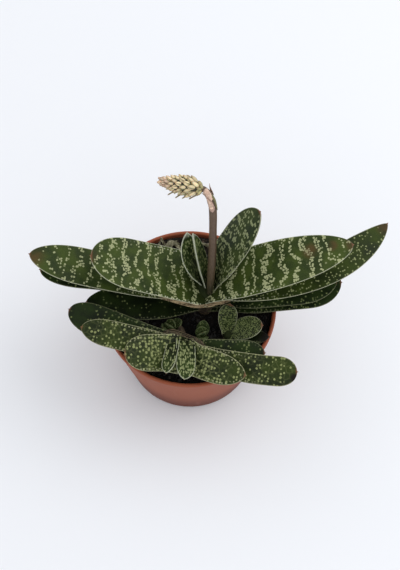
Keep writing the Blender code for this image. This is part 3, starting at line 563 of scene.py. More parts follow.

# Each leaf: the crown it grows on, how far up that it starts, and any shift from its axis. heading, rise and
# roll are degrees at the root and at the tip, heading from +X towards the back. base is the root's share of
# the full width, which the blade reaches at spread of its length; it tapers from narrow of its length on, and
# a smaller blunt makes its end rounder. cup is how much the margins lift at the root and at the tip, as a
# share of the half width. skin names one of SKINS, flecks is the share of that skin's flecks that it has, dim
# the share of painted light over the whole leaf, and shaded the share of its length that is darkened at the
# root as painted shade. blush and dead are spots: metres from the tip, metres aside and radius.
LEAVES = {
    "leaf_left_1": dict(crown="main", attach=0.034, shift=(-0.0014, 0.0014), heading=(185, 180), rise=(38, 26),
                        roll=(-8, 0), length=0.088, width=0.0375, thick=0.0052, base=1.0, spread=0.22,
                        narrow=0.64, blunt=0.50, cup=(0.25, 0.05), blush=[(0.0, 0.0, 0.0050)]),
    "leaf_left_2": dict(crown="main", attach=0.028, heading=(181, 170), rise=(19, 13),
                        roll=(-8, -4), length=0.124, width=0.0270, thick=0.0050, base=0.75, spread=0.40,
                        narrow=0.68, blunt=0.60, cup=(0.20, 0.05),
                        flecks=0.62, blush=[(0.0, 0.0, 0.0095)]),
    "leaf_left_3": dict(crown="main", attach=0.022, heading=(170, 184), rise=(16, 8),
                        roll=(-8, -6), length=0.116, width=0.0260, thick=0.0050, base=0.70, spread=0.40,
                        narrow=0.72, blunt=0.50, cup=(0.20, 0.05),
                        flecks=0.45, skin="old"),
    "leaf_left_4": dict(crown="main", attach=0.016, heading=(191, 184), rise=(9, 9),
                        roll=(-8, -8), length=0.084, width=0.0280, thick=0.0046, base=0.70, spread=0.40,
                        narrow=0.42, blunt=0.60, cup=(0.20, 0.05),
                        flecks=0.22, skin="old", shaded=1.1),
    "leaf_right_1": dict(crown="main", attach=0.034, shift=(0.0022, 0), heading=(-8, 14), rise=(46, 6),
                         roll=(9, 5), length=0.110, width=0.0350, thick=0.0052, base=0.85, spread=0.33,
                         narrow=0.39, blunt=0.58, cup=(0.22, 0.05), flecks=1.12,
                         blush=[(0.029, 0.003, 0.0050), (0.0145, 0.003, 0.0035), (0.0, 0.0, 0.0050)]),
    "leaf_right_2": dict(crown="main", attach=0.028, heading=(-20, 50), rise=(23, 3),
                         roll=(-8, 17), length=0.142, width=0.0235, thick=0.0050, base=0.75, spread=0.62,
                         narrow=0.60, blunt=0.72, cup=(0.20, 0.05),
                         dim=0.85, skin="outer", flecks=0.66, blush=[(0.0, 0.0, 0.0085)]),
    "leaf_right_3": dict(crown="main", attach=0.022, heading=(2, 1), rise=(15, 5),
                         roll=(8, 8), length=0.093, width=0.0335, thick=0.0048, base=0.70, spread=0.42,
                         narrow=0.68, blunt=0.56, cup=(0.20, 0.05),
                         flecks=0.6, skin="old"),
    "leaf_right_4": dict(crown="main", attach=0.016, heading=(2, 3), rise=(12, 5),
                         roll=(7, 9), length=0.096, width=0.0340, thick=0.0046, base=0.70, spread=0.40,
                         narrow=0.74, blunt=0.56, cup=(0.20, 0.05),
                         flecks=0.6, skin="old"),
    "leaf_upright": dict(crown="main", attach=0.038, shift=(0.0058, 0.0020), heading=(14, 22), rise=(76, 60),
                         roll=(3, -2), length=0.084, width=0.0285, thick=0.0042, base=0.65, spread=0.40,
                         narrow=0.54, blunt=0.56, cup=(0.25, 0.05),
                         flecks=1.1, skin="dashed", shaded=0.42),
    "leaf_young_outer": dict(crown="main", attach=0.040, shift=(-0.0050, 0.0020), heading=(165, 85),
                             rise=(74, 80), roll=(25, 20), length=0.052, width=0.0175, thick=0.0026,
                             base=0.75, spread=0.30, narrow=0.35, blunt=0.85, cup=(0.30, 0.20),
                             skin="streaked"),
    "leaf_young_inner": dict(crown="main", attach=0.040, shift=(0.0000, -0.0010), heading=(130, 138),
                             rise=(80, 76), roll=(34, 24), length=0.056, width=0.0140, thick=0.0024,
                             base=0.70, spread=0.40, narrow=0.35, blunt=0.85, cup=(0.40, 0.30),
                             skin="streaked"),
    "front_leaf_left_1": dict(crown="front", attach=0.034, shift=(-0.0010, 0), heading=(185, 192),
                              rise=(22, 10), roll=(-26, -18), length=0.039, width=0.0250, thick=0.0048,
                              base=1.10, spread=0.30, narrow=0.53, blunt=0.50, cup=(0.12, 0.05),
                              flecks=1.15),
    "front_leaf_left_2": dict(crown="front", attach=0.028, shift=(-0.0010, 0), heading=(175, 168),
                              rise=(18, 7), roll=(-28, -22), length=0.069, width=0.0185, thick=0.0046,
                              base=0.85, spread=0.35, narrow=0.69, blunt=0.58, cup=(0.12, 0.05),
                              flecks=0.68),
    "front_leaf_left_3": dict(crown="front", attach=0.022, heading=(173, 156), rise=(11, 8),
                              roll=(-29, -20), length=0.081, width=0.0220, thick=0.0046, base=0.70,
                              spread=0.65, narrow=0.71, blunt=0.50, cup=(0.12, 0.05),
                              flecks=0.35, skin="old"),
    "front_leaf_right_1": dict(crown="front", attach=0.034, shift=(0.0030, -0.0015), heading=(-32, -19),
                               rise=(15, 13), roll=(29, 24), length=0.047, width=0.0215, thick=0.0048,
                               base=1.15, spread=0.25, narrow=0.49, blunt=0.62, cup=(0.12, 0.05),
                               flecks=0.85),
    "front_leaf_right_2": dict(crown="front", attach=0.028, shift=(0.0010, 0), heading=(-29, -6),
                               rise=(11, 14), roll=(29, 24), length=0.0835, width=0.0200, thick=0.0046,
                               base=0.75, spread=0.65, narrow=0.83, blunt=0.50, cup=(0.12, 0.05),
                               flecks=0.65, dead=[(0.0025, -0.004, 0.0030)]),
    "front_leaf_right_3": dict(crown="front", attach=0.022, heading=(-18, -3), rise=(10, 12),
                               roll=(29, 22), length=0.060, width=0.0175, thick=0.0042, base=0.70,
                               spread=0.60, narrow=0.75, blunt=0.60, cup=(0.12, 0.05),
                               flecks=0.6, skin="old"),
    "front_leaf_young_1": dict(crown="front", attach=0.0400, shift=(0.0028, 0.0120), heading=(-84, -96),
                               rise=(18, 20), roll=(-10, -10), length=0.0350, width=0.0130, thick=0.0026,
                               base=0.95, spread=0.30, narrow=0.60, blunt=0.60, cup=(0.35, 0.15),
                               flecks=1.0, skin="folded", shaded=0.9),
    "front_leaf_young_2": dict(crown="front", attach=0.0410, shift=(-0.0042, 0.0126), heading=(-98, -102),
                               rise=(21, 23), roll=(12, 12), length=0.0315, width=0.0092, thick=0.0024,
                               base=0.95, spread=0.30, narrow=0.65, blunt=0.60, cup=(0.45, 0.30),
                               flecks=0.9, skin="folded", shaded=1.4),
    "side_leaf_1": dict(crown="side", attach=0.016, shift=(0, 0.0010), heading=(102, 66), rise=(50, 50),
                        roll=(0, 6), length=0.0225, width=0.0130, thick=0.0038, base=0.70, spread=0.50,
                        narrow=0.60, blunt=0.54, cup=(0.20, 0.05)),
    "side_leaf_2": dict(crown="side", attach=0.015, heading=(10, -5), rise=(38, 20),
                        roll=(9, 12), length=0.0275, width=0.0160, thick=0.0038, base=0.70, spread=0.55,
                        narrow=0.50, blunt=0.54, cup=(0.20, 0.05)),
    "side_leaf_3": dict(crown="side", attach=0.0105, heading=(-6, -8), rise=(17, 15),
                        roll=(10, 12), length=0.0300, width=0.0120, thick=0.0032, base=0.70, spread=0.50,
                        narrow=0.45, blunt=0.70, cup=(0.20, 0.05),
                        flecks=0.3, skin="old", dead=[(0.0, 0.0, 0.0080)]),
}


def crown_point(name, attach, shift=(0, 0)):
    """A point on a crown's axis, attach metres from its foot, shifted across the fan."""
    crown = CROWNS[name]
    lean = math.radians(crown["lean"])
    return (np.array(crown["foot"]) + attach * np.array([0, -math.sin(lean), math.cos(lean)])
            + np.array([*shift, 0]))


def leaf_root(leaf):
    """Where a leaf's midline starts on its crown."""
    return crown_point(leaf["crown"], leaf["attach"], leaf.get("shift", (0, 0)))


def leaf_grid(leaf, root, rows=LEAF_ROWS, columns=LEAF_COLUMNS):
    """A leaf over how far it is along (rows) and the angle round its section (columns).

    The midline leaves the root at a heading and rise that turn evenly to the tip. The section is a lens as
    wide as the blade there: 1 - x squared above, rounder below, with a rim 0.8 mm thick at its edges, lifted
    by a cup that grows with x squared. The blade stops short of the tip, where a fine hard point goes on.
    Returns the grid, and for each point metres to the rim, to the root and to the tip, and its place x."""
    step = np.linspace(0, 1, SPINE_STEPS + 1)
    heading, rise, roll = (np.radians(leaf[key][0] + (leaf[key][1] - leaf[key][0]) * step)
                           for key in ("heading", "rise", "roll"))
    ahead = np.stack([np.cos(rise) * np.cos(heading), np.cos(rise) * np.sin(heading), np.sin(rise)], 1)
    across = np.stack([-np.sin(heading), np.cos(heading), 0 * step], 1)
    up = np.cross(ahead, across)
    side = across * np.cos(roll)[:, None] + up * np.sin(roll)[:, None]
    face = up * np.cos(roll)[:, None] - across * np.sin(roll)[:, None]
    midline = np.cumsum(np.vstack([root, (ahead[1:] + ahead[:-1]) / 2 * leaf["length"] / SPINE_STEPS]), 0)
    t = 1 - (1 - np.linspace(0, 0.9995, rows)) ** 1.5
    point, side, face = (np.stack([np.interp(t, step, line[:, k]) for k in range(3)], 1)
                         for line in (midline, side, face))
    short = leaf["length"] - leaf.get("point", POINT_LENGTH)
    blade = np.clip(t * leaf["length"] / short, 0, 1)
    narrowing = np.clip((blade - leaf["narrow"]) / (1 - leaf["narrow"]), 0, 1)
    half = (leaf["width"] / 2 * (leaf["base"] + (1 - leaf["base"]) * smoothstep(t / leaf["spread"]))
            * (1 - narrowing ** TIP_POWER) ** leaf["blunt"])
    thick = (leaf["thick"] * (ROOT_THICKNESS + (1 - ROOT_THICKNESS) * smoothstep(t / FULL_THICKNESS_FROM))
             * (1 - TIP_THINNING * t) * np.sqrt(np.clip(1 - blade ** 8, 0, 1)))
    spike = POINT_HALF * np.clip((1 - t) * leaf["length"] / POINT_LENGTH, 0.02, 1) ** 0.7
    half, thick = np.maximum(half, spike)[:, None], np.maximum(thick, 1.4 * spike)[:, None]
    turn = np.linspace(0, 2 * math.pi, columns, endpoint=False)
    x, above = np.cos(turn)[None], np.sin(turn)[None]
    lens = np.where(above > 0, UPPER_SHARE * thick * (1 - x ** 2),
                    -(1 - UPPER_SHARE) * thick * np.clip(1 - x ** 2, 0, 1) ** 0.85)
    rim = MARGIN_HALF * np.minimum(1, thick / 0.001) * np.clip(above * 3, -1, 1)
    cup = (leaf["cup"][0] * (1 - t) ** 2 + leaf["cup"][1] * t)[:, None] * half * x ** 2
    sideways, raised = (x * half)[..., None], (lens + rim + cup)[..., None]
    grid = point[:, None] + side[:, None] * sideways + face[:, None] * raised
    level = np.ones_like(x)
    facts = dict(rim=(1 - np.abs(x)) * half, root=(t * leaf["length"])[:, None] * level,
                 tip=((1 - t) * leaf["length"])[:, None] * level, place=x * half)
    return grid, facts


def spot_depth(facts, spots):
    """How deep in a spot each point of a leaf is, 0 to 1. A spot is metres from the tip, metres aside of
    the midline and a radius, and fades out from half its radius to one and a half."""
    depth = np.zeros_like(facts["tip"])
    for from_tip, aside, radius in spots:
        away = np.hypot(facts["tip"] - from_tip, facts["place"] - aside)
        depth = np.maximum(depth, smoothstep(1.5 - away / radius))
    return depth


def with_middles(grid):
    """The points of a grid, and after them the middles of its first and last rows, as surface puts them."""
    return np.vstack([grid.reshape(-1, grid.shape[-1]), grid[0].mean(0), grid[-1].mean(0)])


def leaf_mesh(name, leaf, root, skin_from, rows=LEAF_ROWS, columns=LEAF_COLUMNS):
    """A leaf's mesh with its skin laid out in metres along and round it, from the corner skin_from.

    Its attributes tell the skin how far each point is from the rim, root and tip, how many flecks it has,
    how much painted light it gets, which is darker as painted shade between the leaves, and how deep it
    lies in a blush or a dead spot. Flecks thin out to TIP_FLECKS of the leaf's own at its tip, and the
    painted light falls to ROOT_LIGHT of it at its root."""
    grid, facts = leaf_grid(leaf, root, rows, columns)
    mesh = surface(name, grid)
    _, _, corner_rows, corner_columns = grid_faces(rows, columns)
    wrapped = np.concatenate([grid, grid[:, :1]], 1)
    around = np.cumsum(np.linalg.norm(np.diff(wrapped, axis=1), axis=2), 1)
    around = np.concatenate([np.zeros((rows, 1)), around], 1)
    around -= around[:, columns // 4][:, None]
    left = np.floor(corner_columns).astype(int)
    part = corner_columns - left
    right = np.minimum(left + 1, columns)
    v = around[corner_rows, left] * (1 - part) + around[corner_rows, right] * part
    u = facts["root"][corner_rows, 0]
    layer = mesh.uv_layers.new(name="skin")
    layer.data.foreach_set("uv", np.stack([u + skin_from[0], v + skin_from[1]], 1).astype(np.float32).ravel())
    from_tip = smoothstep((facts["tip"] / leaf["length"] - FLECKS_THIN[0]) / FLECKS_THIN[1])
    from_root = smoothstep(facts["root"] / (leaf.get("shaded", SHADED_SHARE) * leaf["length"]))
    told = {
        "rim": facts["rim"], "root": facts["root"], "tip": facts["tip"],
        "amount": leaf.get("flecks", 1.0) * (TIP_FLECKS + (1 - TIP_FLECKS) * from_tip),
        # The painted light: darker towards the root as painted shade, and over the whole leaf by dim.
        "painted_light": leaf.get("dim", 1.0) * (ROOT_LIGHT + (1 - ROOT_LIGHT) * from_root),
        "blush": spot_depth(facts, leaf.get("blush", [])), "dead": spot_depth(facts, leaf.get("dead", [])),
    }
    for key, values in told.items():
        made = mesh.attributes.new(key, "FLOAT", "POINT")
        made.data.foreach_set("value", with_middles(values[..., None]).astype(np.float32).ravel())
    return mesh


def leaf_skin(name, dark, light, fleck, cell, radius, stretch=1.0, bands=0.0, cover=0.5, patchy=0.4,
              wander=0.0, rim_width=0.00045, rim="A9AA8C", brown=0.0024, beads=0.9, washed=0.0):
    """Waxy leaf skin: deep green clouded with olive, and pale raised flecks that look almost painted on.

    dark and light are its two greens, and fleck and rim the colours of the flecks and of the hard edge.
    Each fleck is one cell of a pattern over the skin, cell metres apart and radius metres wide, kept or
    left out whole, so neighbours run together. stretch draws the flecks out along the leaf, or across it
    below 1. cover is the share that is kept, patchy how much that varies, and bands gathers them in cross
    bands BAND_PITCH apart. wander adds crooked lines near the root. A pale hard rim of rim_width runs
    round the blade, with a row of beads in the half near the root, and the last of the tip is brown.
    washed is how far from the tip the skin is paler."""
    material, tree, shader = new_material(name)
    skin = add_node(tree, "UVMap", uv_map="skin")
    from_rim, from_root, from_tip, amount, painted_light_level, blush, dead = (
        add_node(tree, "Attribute", out="Fac", attribute_name=key)
        for key in ("rim", "root", "tip", "amount", "painted_light", "blush", "dead"))

    shake = add_node(tree, "TexNoise", {"Vector": skin, "Scale": 1000 / EDGE_SHAKE_MM, "Detail": 2.0}, "Color")
    centred = add_node(tree, "VectorMath", (shake, (0.5, 0.5, 0.5)), operation="SUBTRACT")
    shaken = add_node(tree, "VectorMath", (centred, (EDGE_SHAKE_BY, EDGE_SHAKE_BY, 0.0), skin),
                      operation="MULTIPLY_ADD")
    drawn = add_node(tree, "VectorMath", (shaken, (1 / stretch, 1.0, 0.0)), operation="MULTIPLY")
    cells = add_node(tree, "TexVoronoi", {"Vector": drawn, "Scale": 1 / cell, "Randomness": 0.85},
                     voronoi_dimensions="2D").node.outputs
    centre = add_node(tree, "VectorMath", (cells["Position"], (stretch, 1.0, 0.0)), operation="MULTIPLY")
    chance = add_node(tree, "SeparateColor", (cells["Color"],)).node.outputs

    patches = add_node(tree, "TexNoise", {"Vector": centre, "Scale": 1000 / PATCH_MM, "Detail": 2.0})
    drift = add_node(tree, "TexNoise", {"Vector": centre, "Scale": 1000 / DRIFT_MM, "Detail": 1.0})
    sway = add_node(tree, "Math", (drift, BAND_SWAY), operation="MULTIPLY")
    lengthwise = add_node(tree, "SeparateXYZ", (centre,), out="X")
    phase = add_node(tree, "Math", (lengthwise, 2 * math.pi / BAND_PITCH, sway), operation="MULTIPLY_ADD")
    wave = add_node(tree, "Math", (phase,), operation="SINE")
    band = add_node(tree, "MapRange", (wave, 0.05, 0.75, 1.0 - bands, 1.0), **SMOOTH)
    share = add_node(tree, "Math", (patches, 2 * patchy, cover - patchy), operation="MULTIPLY_ADD")
    likely = add_node(tree, "Math", (amount, share), operation="MULTIPLY")
    wanted = add_node(tree, "Math", (band, likely), operation="MULTIPLY")
    ahead = add_node(tree, "Math", (wanted, chance[0]), operation="SUBTRACT")
    kept = add_node(tree, "MapRange", (ahead, -0.02, 0.06), **SMOOTH)
    swollen = add_node(tree, "Math", (chance[1], 0.5, 0.72), operation="MULTIPLY_ADD")
    size = add_node(tree, "Math", (swollen, radius / cell), operation="MULTIPLY")
    past = add_node(tree, "Math", (cells["Distance"], size), operation="SUBTRACT")
    within = add_node(tree, "MapRange", (past, -0.09, 0.05, 1.0, 0.0), **SMOOTH)
    spot = add_node(tree, "Math", (within, kept), operation="MULTIPLY")
    if wander:
        seams = add_node(tree, "TexVoronoi", {"Vector": drawn, "Scale": 0.55 / cell, "Randomness": 1.0},
                         out="Distance", voronoi_dimensions="2D", feature="DISTANCE_TO_EDGE")
        crooked = add_node(tree, "MapRange", (seams, 0.05, 0.16, 1.0, 0.0), **SMOOTH)
        strewn = add_node(tree, "MapRange", (patches, 0.39, 0.54, 0.0, wander), **SMOOTH)
        near_root = add_node(tree, "MapRange", (from_root, *WORM_ZONE, 1.0, 0.25), **SMOOTH)
        worm = add_node(tree, "Math", (crooked, strewn), operation="MULTIPLY")
        worm = add_node(tree, "Math", (worm, near_root), operation="MULTIPLY")
        spot = add_node(tree, "Math", (spot, worm), operation="MAXIMUM")

    haze = add_node(tree, "TexNoise", {"Vector": skin, "Scale": 1000 / HAZE_MM, "Detail": 4.0})
    fine = add_node(tree, "TexNoise", {"Vector": skin, "Scale": 1000 / FINE_MM, "Detail": 3.0})
    olive = add_node(tree, "MapRange", (haze, 0.34, 0.66), **SMOOTH)
    green = add_node(tree, "Mix", {0: olive, 6: linear(dark), 7: linear(light)}, **COLOURS)
    bloom = add_node(tree, "MapRange", (fine, 0.35, 0.85, 0.0, 0.07), **SMOOTH)
    green = add_node(tree, "Mix", {0: bloom, 6: green, 7: linear(fleck)}, **COLOURS)
    # Painted light: the greens are darkened by the mesh's painted light, as painted shade towards the root.
    green = add_node(tree, "VectorMath", {0: green, "Scale": painted_light_level}, operation="SCALE")
    painted = add_node(tree, "Math", (spot, FLECK_STRENGTH), operation="MULTIPLY")
    colour = add_node(tree, "Mix", {0: painted, 6: green, 7: linear(fleck)}, **COLOURS)

    edge = add_node(tree, "MapRange", (from_rim, 0.55 * rim_width, 1.35 * rim_width, 1.0, 0.0), **SMOOTH)
    worn = add_node(tree, "MapRange", (fine, 0.30, 0.62, 0.55, 1.0), **SMOOTH)
    edge = add_node(tree, "Math", (edge, worn), operation="MULTIPLY")
    bead_cells = add_node(tree, "TexVoronoi", {"Vector": skin, "Scale": 1000 / BEAD_MM, "Randomness": 0.5},
                          voronoi_dimensions="2D")
    bead = add_node(tree, "MapRange", (bead_cells, 0.15, 0.28, 1.0, 0.0), **SMOOTH)
    at_rim = add_node(tree, "MapRange", (from_rim, *BEAD_REACH, 1.0, 0.0), **SMOOTH)
    at_root = add_node(tree, "MapRange", (from_root, *BEAD_ZONE, beads, 0.0), **SMOOTH)
    bead = add_node(tree, "Math", (bead, at_rim), operation="MULTIPLY")
    bead = add_node(tree, "Math", (bead, at_root), operation="MULTIPLY")
    edge = add_node(tree, "Math", (edge, bead), operation="MAXIMUM")
    pale = add_node(tree, "Math", (edge, 0.85), operation="MULTIPLY")
    colour = add_node(tree, "Mix", {0: pale, 6: colour, 7: linear(rim)}, **COLOURS)
    if washed:
        wash = add_node(tree, "MapRange", (from_tip, 0.1 * washed, washed, 0.60, 0.0), **SMOOTH)
        colour = add_node(tree, "Mix", {0: wash, 6: colour, 7: linear(rim)}, **COLOURS)

    uneven = add_node(tree, "MapRange", (haze, 0.35, 0.60, 0.10, 0.50), **SMOOTH)
    red = add_node(tree, "Math", (blush, uneven), operation="MULTIPLY")
    colour = add_node(tree, "Mix", {0: red, 6: colour, 7: linear(BLUSH_RED)}, **COLOURS)
    hard = add_node(tree, "MapRange", (from_tip, 0.25 * brown, brown, 0.85, 0.0), **SMOOTH)
    colour = add_node(tree, "Mix", {0: hard, 6: colour, 7: linear(POINT_BROWN)}, **COLOURS)
    rotten = add_node(tree, "Math", (dead, 0.97), operation="MULTIPLY")
    colour = add_node(tree, "Mix", {0: rotten, 6: colour, 7: linear(DEAD_BLACK)}, **COLOURS)
    raised = add_node(tree, "Math", (spot, edge), operation="MAXIMUM")
    height = add_node(tree, "Math", (fine, 0.15, raised), operation="MULTIPLY_ADD")
    relief = add_node(tree, "Bump", {"Height": height, "Strength": 0.5, "Distance": FLECK_RELIEF})
    dull = add_node(tree, "MapRange", (haze, 0.3, 0.7, 0.42, 0.55), **SMOOTH)
    feed(shader, {"Base Color": colour, "Normal": relief, "Roughness": dull, "Specular IOR Level": 0.14})
    return material


SKINS = {
    "banded": leaf_skin("banded_leaf_skin", "22300E", "3A4916", "A5AA7F", 0.00150, 0.00074, bands=0.97,
                        cover=0.92, patchy=0.55, rim_width=0.00038, rim="BFC1A6"),
    "outer": leaf_skin("outer_leaf_skin", "1B2709", "35440F", "8C9364", 0.00140, 0.00058, bands=0.60,
                       cover=0.62, patchy=0.55, rim_width=0.00036, rim="B4B69A"),
    "dashed": leaf_skin("dashed_leaf_skin", "16240B", "313E15", "8C946A", 0.00135, 0.00068, stretch=1.7,
                        bands=0.75, cover=0.80, patchy=0.70, rim_width=0.00032, rim="A9AB90"),
    "dotted": leaf_skin("dotted_leaf_skin", "141F08", "2D3A10", "8B925F", 0.00210, 0.00078, bands=0.10,
                        cover=0.54, patchy=0.25, wander=0.50, rim_width=0.00040, rim="A6A682"),
    # The skin of the low leaves: darker greens, flecks and rim, painted as the shade that they lie in under
    # the leaves above.
    "old": leaf_skin("shade_darkened_leaf_skin", "0A1604", "1F300A", "6E784A", 0.00160, 0.00068, bands=0.5,
                     cover=0.60, patchy=0.50, rim="6C7052"),
    "streaked": leaf_skin("streaked_leaf_skin", "14200A", "314316", "8A9264", 0.0011, 0.00050, stretch=2.6,
                          cover=0.56, patchy=0.6, rim_width=0.00042, rim="C2C6B2", beads=0.0,
                          washed=0.0065, brown=0.0008),
    "folded": leaf_skin("folded_leaf_skin", "14200A", "314316", "8A9264", 0.0011, 0.00050, stretch=2.6,
                        cover=0.66, patchy=0.5, rim_width=0.00042, rim="B0B49A", beads=0.0, brown=0.0008),
    "wormed": leaf_skin("wormed_leaf_skin", "121C07", "26330F", "75804F", 0.0011, 0.00050, stretch=0.45,
                        cover=0.66, patchy=0.45, rim_width=0.00038, rim="9EA284", beads=0.3),
    "small": leaf_skin("small_leaf_skin", "16220B", "31401B", "727C52", 0.0010, 0.00036, cover=0.55,
                       rim_width=0.00018, rim="5C6644", brown=0.0005, beads=0.2),
}
USUAL_SKIN = {"main": "banded", "front": "dotted", "side": "wormed"}


def make_leaves():
    """Every large leaf, each with its own stretch of the skin's pattern."""
    for index, (name, leaf) in enumerate(LEAVES.items()):
        skin_from = (SKIN_APART[0] * index, SKIN_APART[1] * index)
        blade = leaf_mesh(name + "_blade", leaf, leaf_root(leaf), skin_from)
        skin = SKINS[leaf.get("skin", USUAL_SKIN[leaf["crown"]])]
        place(name + "_blade", blade, skin, "leaf_green", name)


make_leaves()

# The crowns: the short stems, rooted in the soil and wrapped in the spread bases of old leaves, dried to tan
# paper. Only their edges show, at the front, between the bases of the leaves on each side.

CROWN_PROFILE = [(0.35, 0.0), (0.55, 0.15), (0.86, 0.38), (1.0, 0.62), (0.97, 0.80), (0.80, 0.92),
                 (0.5, 0.985), (0.01, 1.0)]
CROWN_STEPS = 72
SHEATH_LAYERS = 6
SHEATH_RISE = 0.0052
SHEATH_FROM = 0.28
SHEATH_OVER = 0.34
SHEATH_CLOSER = 0.05
SHEATH_FLARE = 0.05
SHEATH_WALL = (0.965, 0.975, 1.0)
SHEATH_BROWNS = ("241B12", "66563C")
EDGE_TANS = ("54442E", "B8A37C")
VEIN_MM = 0.71429
SHEATH_CLOUD_MM = 3.8462
SHEATH_RELIEF = 0.0003
HEART_GREENS = ("10180A", "2C3418")
HEART_CLOUD_MM = 3.3333
EDGE_LAYERS = 3
EDGE_POINTS = 40
EDGE_FROM = 0.0045
EDGE_RADIUS = 0.00030
EDGE_WOBBLE = 0.00025
EDGE_SMOOTHINGS = 40
MAIN_EDGES = dict(left=("leaf_left_1", LEFT_RIM, 0.038), right=("leaf_right_1", RIGHT_RIM, 0.022),
                  step=(0, -0.0004, -0.0010))
FRONT_EDGES = dict(left=("front_leaf_left_1", RIGHT_RIM, 0.012), right=("front_leaf_right_1", LEFT_RIM, 0.013),
                   step=(0, 0.0010, 0.0002))


def leaned(points, name):
    """Points from a crown's own upright frame, put where it stands and leans."""
    crown = CROWNS[name]
    turn = np.array(Matrix.Rotation(math.radians(crown["lean"]), 3, "X"))
    return points @ turn.T + np.array(crown["foot"])


def dry_sheath(name, dark, light):
    """Dried leaf base: fibrous paper clouded from brown to tan, with fine veins that run up it."""
    material, tree, shader = new_material(name)
    place_at = add_node(tree, "TexCoord", out="Object")
    drawn = add_node(tree, "VectorMath", (place_at, (1.0, 1.0, 0.18)), operation="MULTIPLY")
    veins = add_node(tree, "TexNoise", {"Vector": drawn, "Scale": 1000 / VEIN_MM, "Detail": 4.0})
    cloud = add_node(tree, "TexNoise", {"Vector": place_at, "Scale": 1000 / SHEATH_CLOUD_MM, "Detail": 3.0})
    both = add_node(tree, "Math", (veins, cloud), operation="MULTIPLY")
    share = add_node(tree, "MapRange", (both, 0.12, 0.42))
    colour = add_node(tree, "Mix", {0: share, 6: linear(dark), 7: linear(light)}, **COLOURS)
    relief = add_node(tree, "Bump", {"Height": veins, "Strength": 0.5, "Distance": SHEATH_RELIEF})
    feed(shader, {"Base Color": colour, "Normal": relief, "Roughness": 0.75})
    return material


def crown_heart():
    """The living stem under the leaves: smooth dark green, browner in patches."""
    material, tree, shader = new_material("crown_heart")
    place_at = add_node(tree, "TexCoord", out="Object")
    cloud = add_node(tree, "TexNoise", {"Vector": place_at, "Scale": 1000 / HEART_CLOUD_MM, "Detail": 4.0})
    colour = add_node(tree, "Mix", {0: cloud, 6: linear(HEART_GREENS[0]), 7: linear(HEART_GREENS[1])},
                      **COLOURS)
    feed(shader, {"Base Color": colour, "Roughness": 0.8, "Specular IOR Level": 0.1})
    return material


def square_to(middle):
    """Two unit vectors square to a route and to each other, at each of its points."""
    ahead = np.gradient(middle, axis=0)
    ahead /= np.linalg.norm(ahead, axis=1, keepdims=True)
    first = np.cross(ahead, (0, 1, 0.3))
    first /= np.linalg.norm(first, axis=1, keepdims=True)
    return first, np.cross(ahead, first)


def tube_grid(line, columns):
    """A round tube along rows of x, y, z and radius, with its sections square to the route."""
    middle, radius = line[:, :3], line[:, 3]
    first, second = square_to(middle)
    turn = np.linspace(0, 2 * math.pi, columns, endpoint=False)[None, :, None]
    outward = np.cos(turn) * first[:, None] + np.sin(turn) * second[:, None]
    return middle[:, None] + radius[:, None, None] * outward


def oval_cup(half, radius, height, turn):
    """An upright oval over rows of radius, a share of its two half widths, and rows of height."""
    return np.stack([half[0] * radius * np.cos(turn), half[1] * radius * np.sin(turn), height + 0 * turn], 2)


def sheath_grid(crown, layer):
    """One sheath: an oval cup that flares and rises to a ragged edge, highest at the sides, and its inner
    wall back down. Each layer sits higher than the last and a little closer in."""
    turn = np.linspace(0, 2 * math.pi, CROWN_STEPS, endpoint=False)
    t = np.linspace(0, 1, 8)[:, None]
    low = crown["length"] * (SHEATH_FROM + SHEATH_OVER * (layer + 1) / (SHEATH_LAYERS + 1))
    rise = SHEATH_RISE * (0.7 + 0.3 * math.sin(layer * 2.1))
    ragged = 0.22 * np.sin(turn * 5 + layer * 2) + 0.10 * np.sin(turn * 17 + layer)
    swell = 0.99 - SHEATH_CLOSER * layer / SHEATH_LAYERS + SHEATH_FLARE * t ** 2
    height = low + rise * t * (1 + ragged * t) * (0.6 + 0.4 * np.abs(np.sin(turn)))
    outside = oval_cup(crown["half"], swell, height, turn)
    return np.concatenate([outside, outside[::-1] * np.array(SHEATH_WALL)])


def make_sheath_edges(name, left, right, step, material):
    """The edges of the sheaths: thin cords that follow one leaf's rim to the crown and the other's away
    from it, each layer a step out from the last, and thinning to nothing at both ends. left and right are
    a leaf, the column of its rim and how far along it the cords reach."""
    runs = []
    for leaf_name, column, reach in (left, right):
        grid, facts = leaf_grid(LEAVES[leaf_name], leaf_root(LEAVES[leaf_name]))
        wanted, along = np.linspace(EDGE_FROM, reach, EDGE_POINTS), facts["root"][:, 0]
        runs.append(np.stack([np.interp(wanted, along, grid[:, column, k]) for k in range(3)], 1))
    path = np.concatenate([runs[0][::-1], runs[1]])
    for _ in range(EDGE_SMOOTHINGS):
        path[1:-1] = (path[:-2] + 2 * path[1:-1] + path[2:]) / 4
    along = np.linspace(0, 1, len(path))
    sag = np.sin(math.pi * along) ** 0.7
    for layer in range(EDGE_LAYERS):
        moved = path + np.array(step) * (0.7 + layer * 1.1) * (0.45 + 0.55 * sag)[:, None]
        moved[:, 2] += EDGE_WOBBLE * np.sin(along * 23 + layer * 2)
        radius = (EDGE_RADIUS * np.clip(np.minimum(along, 1 - along) * 7, 0.05, 1)
                  * (1 + 0.3 * np.sin(along * 31 + layer)))
        cord = surface(f"crown_{name}_edge_{layer + 1}", tube_grid(np.column_stack([moved, radius]), 10))
        place(f"crown_{name}_edge_{layer + 1}", cord, material, "stem_brown")


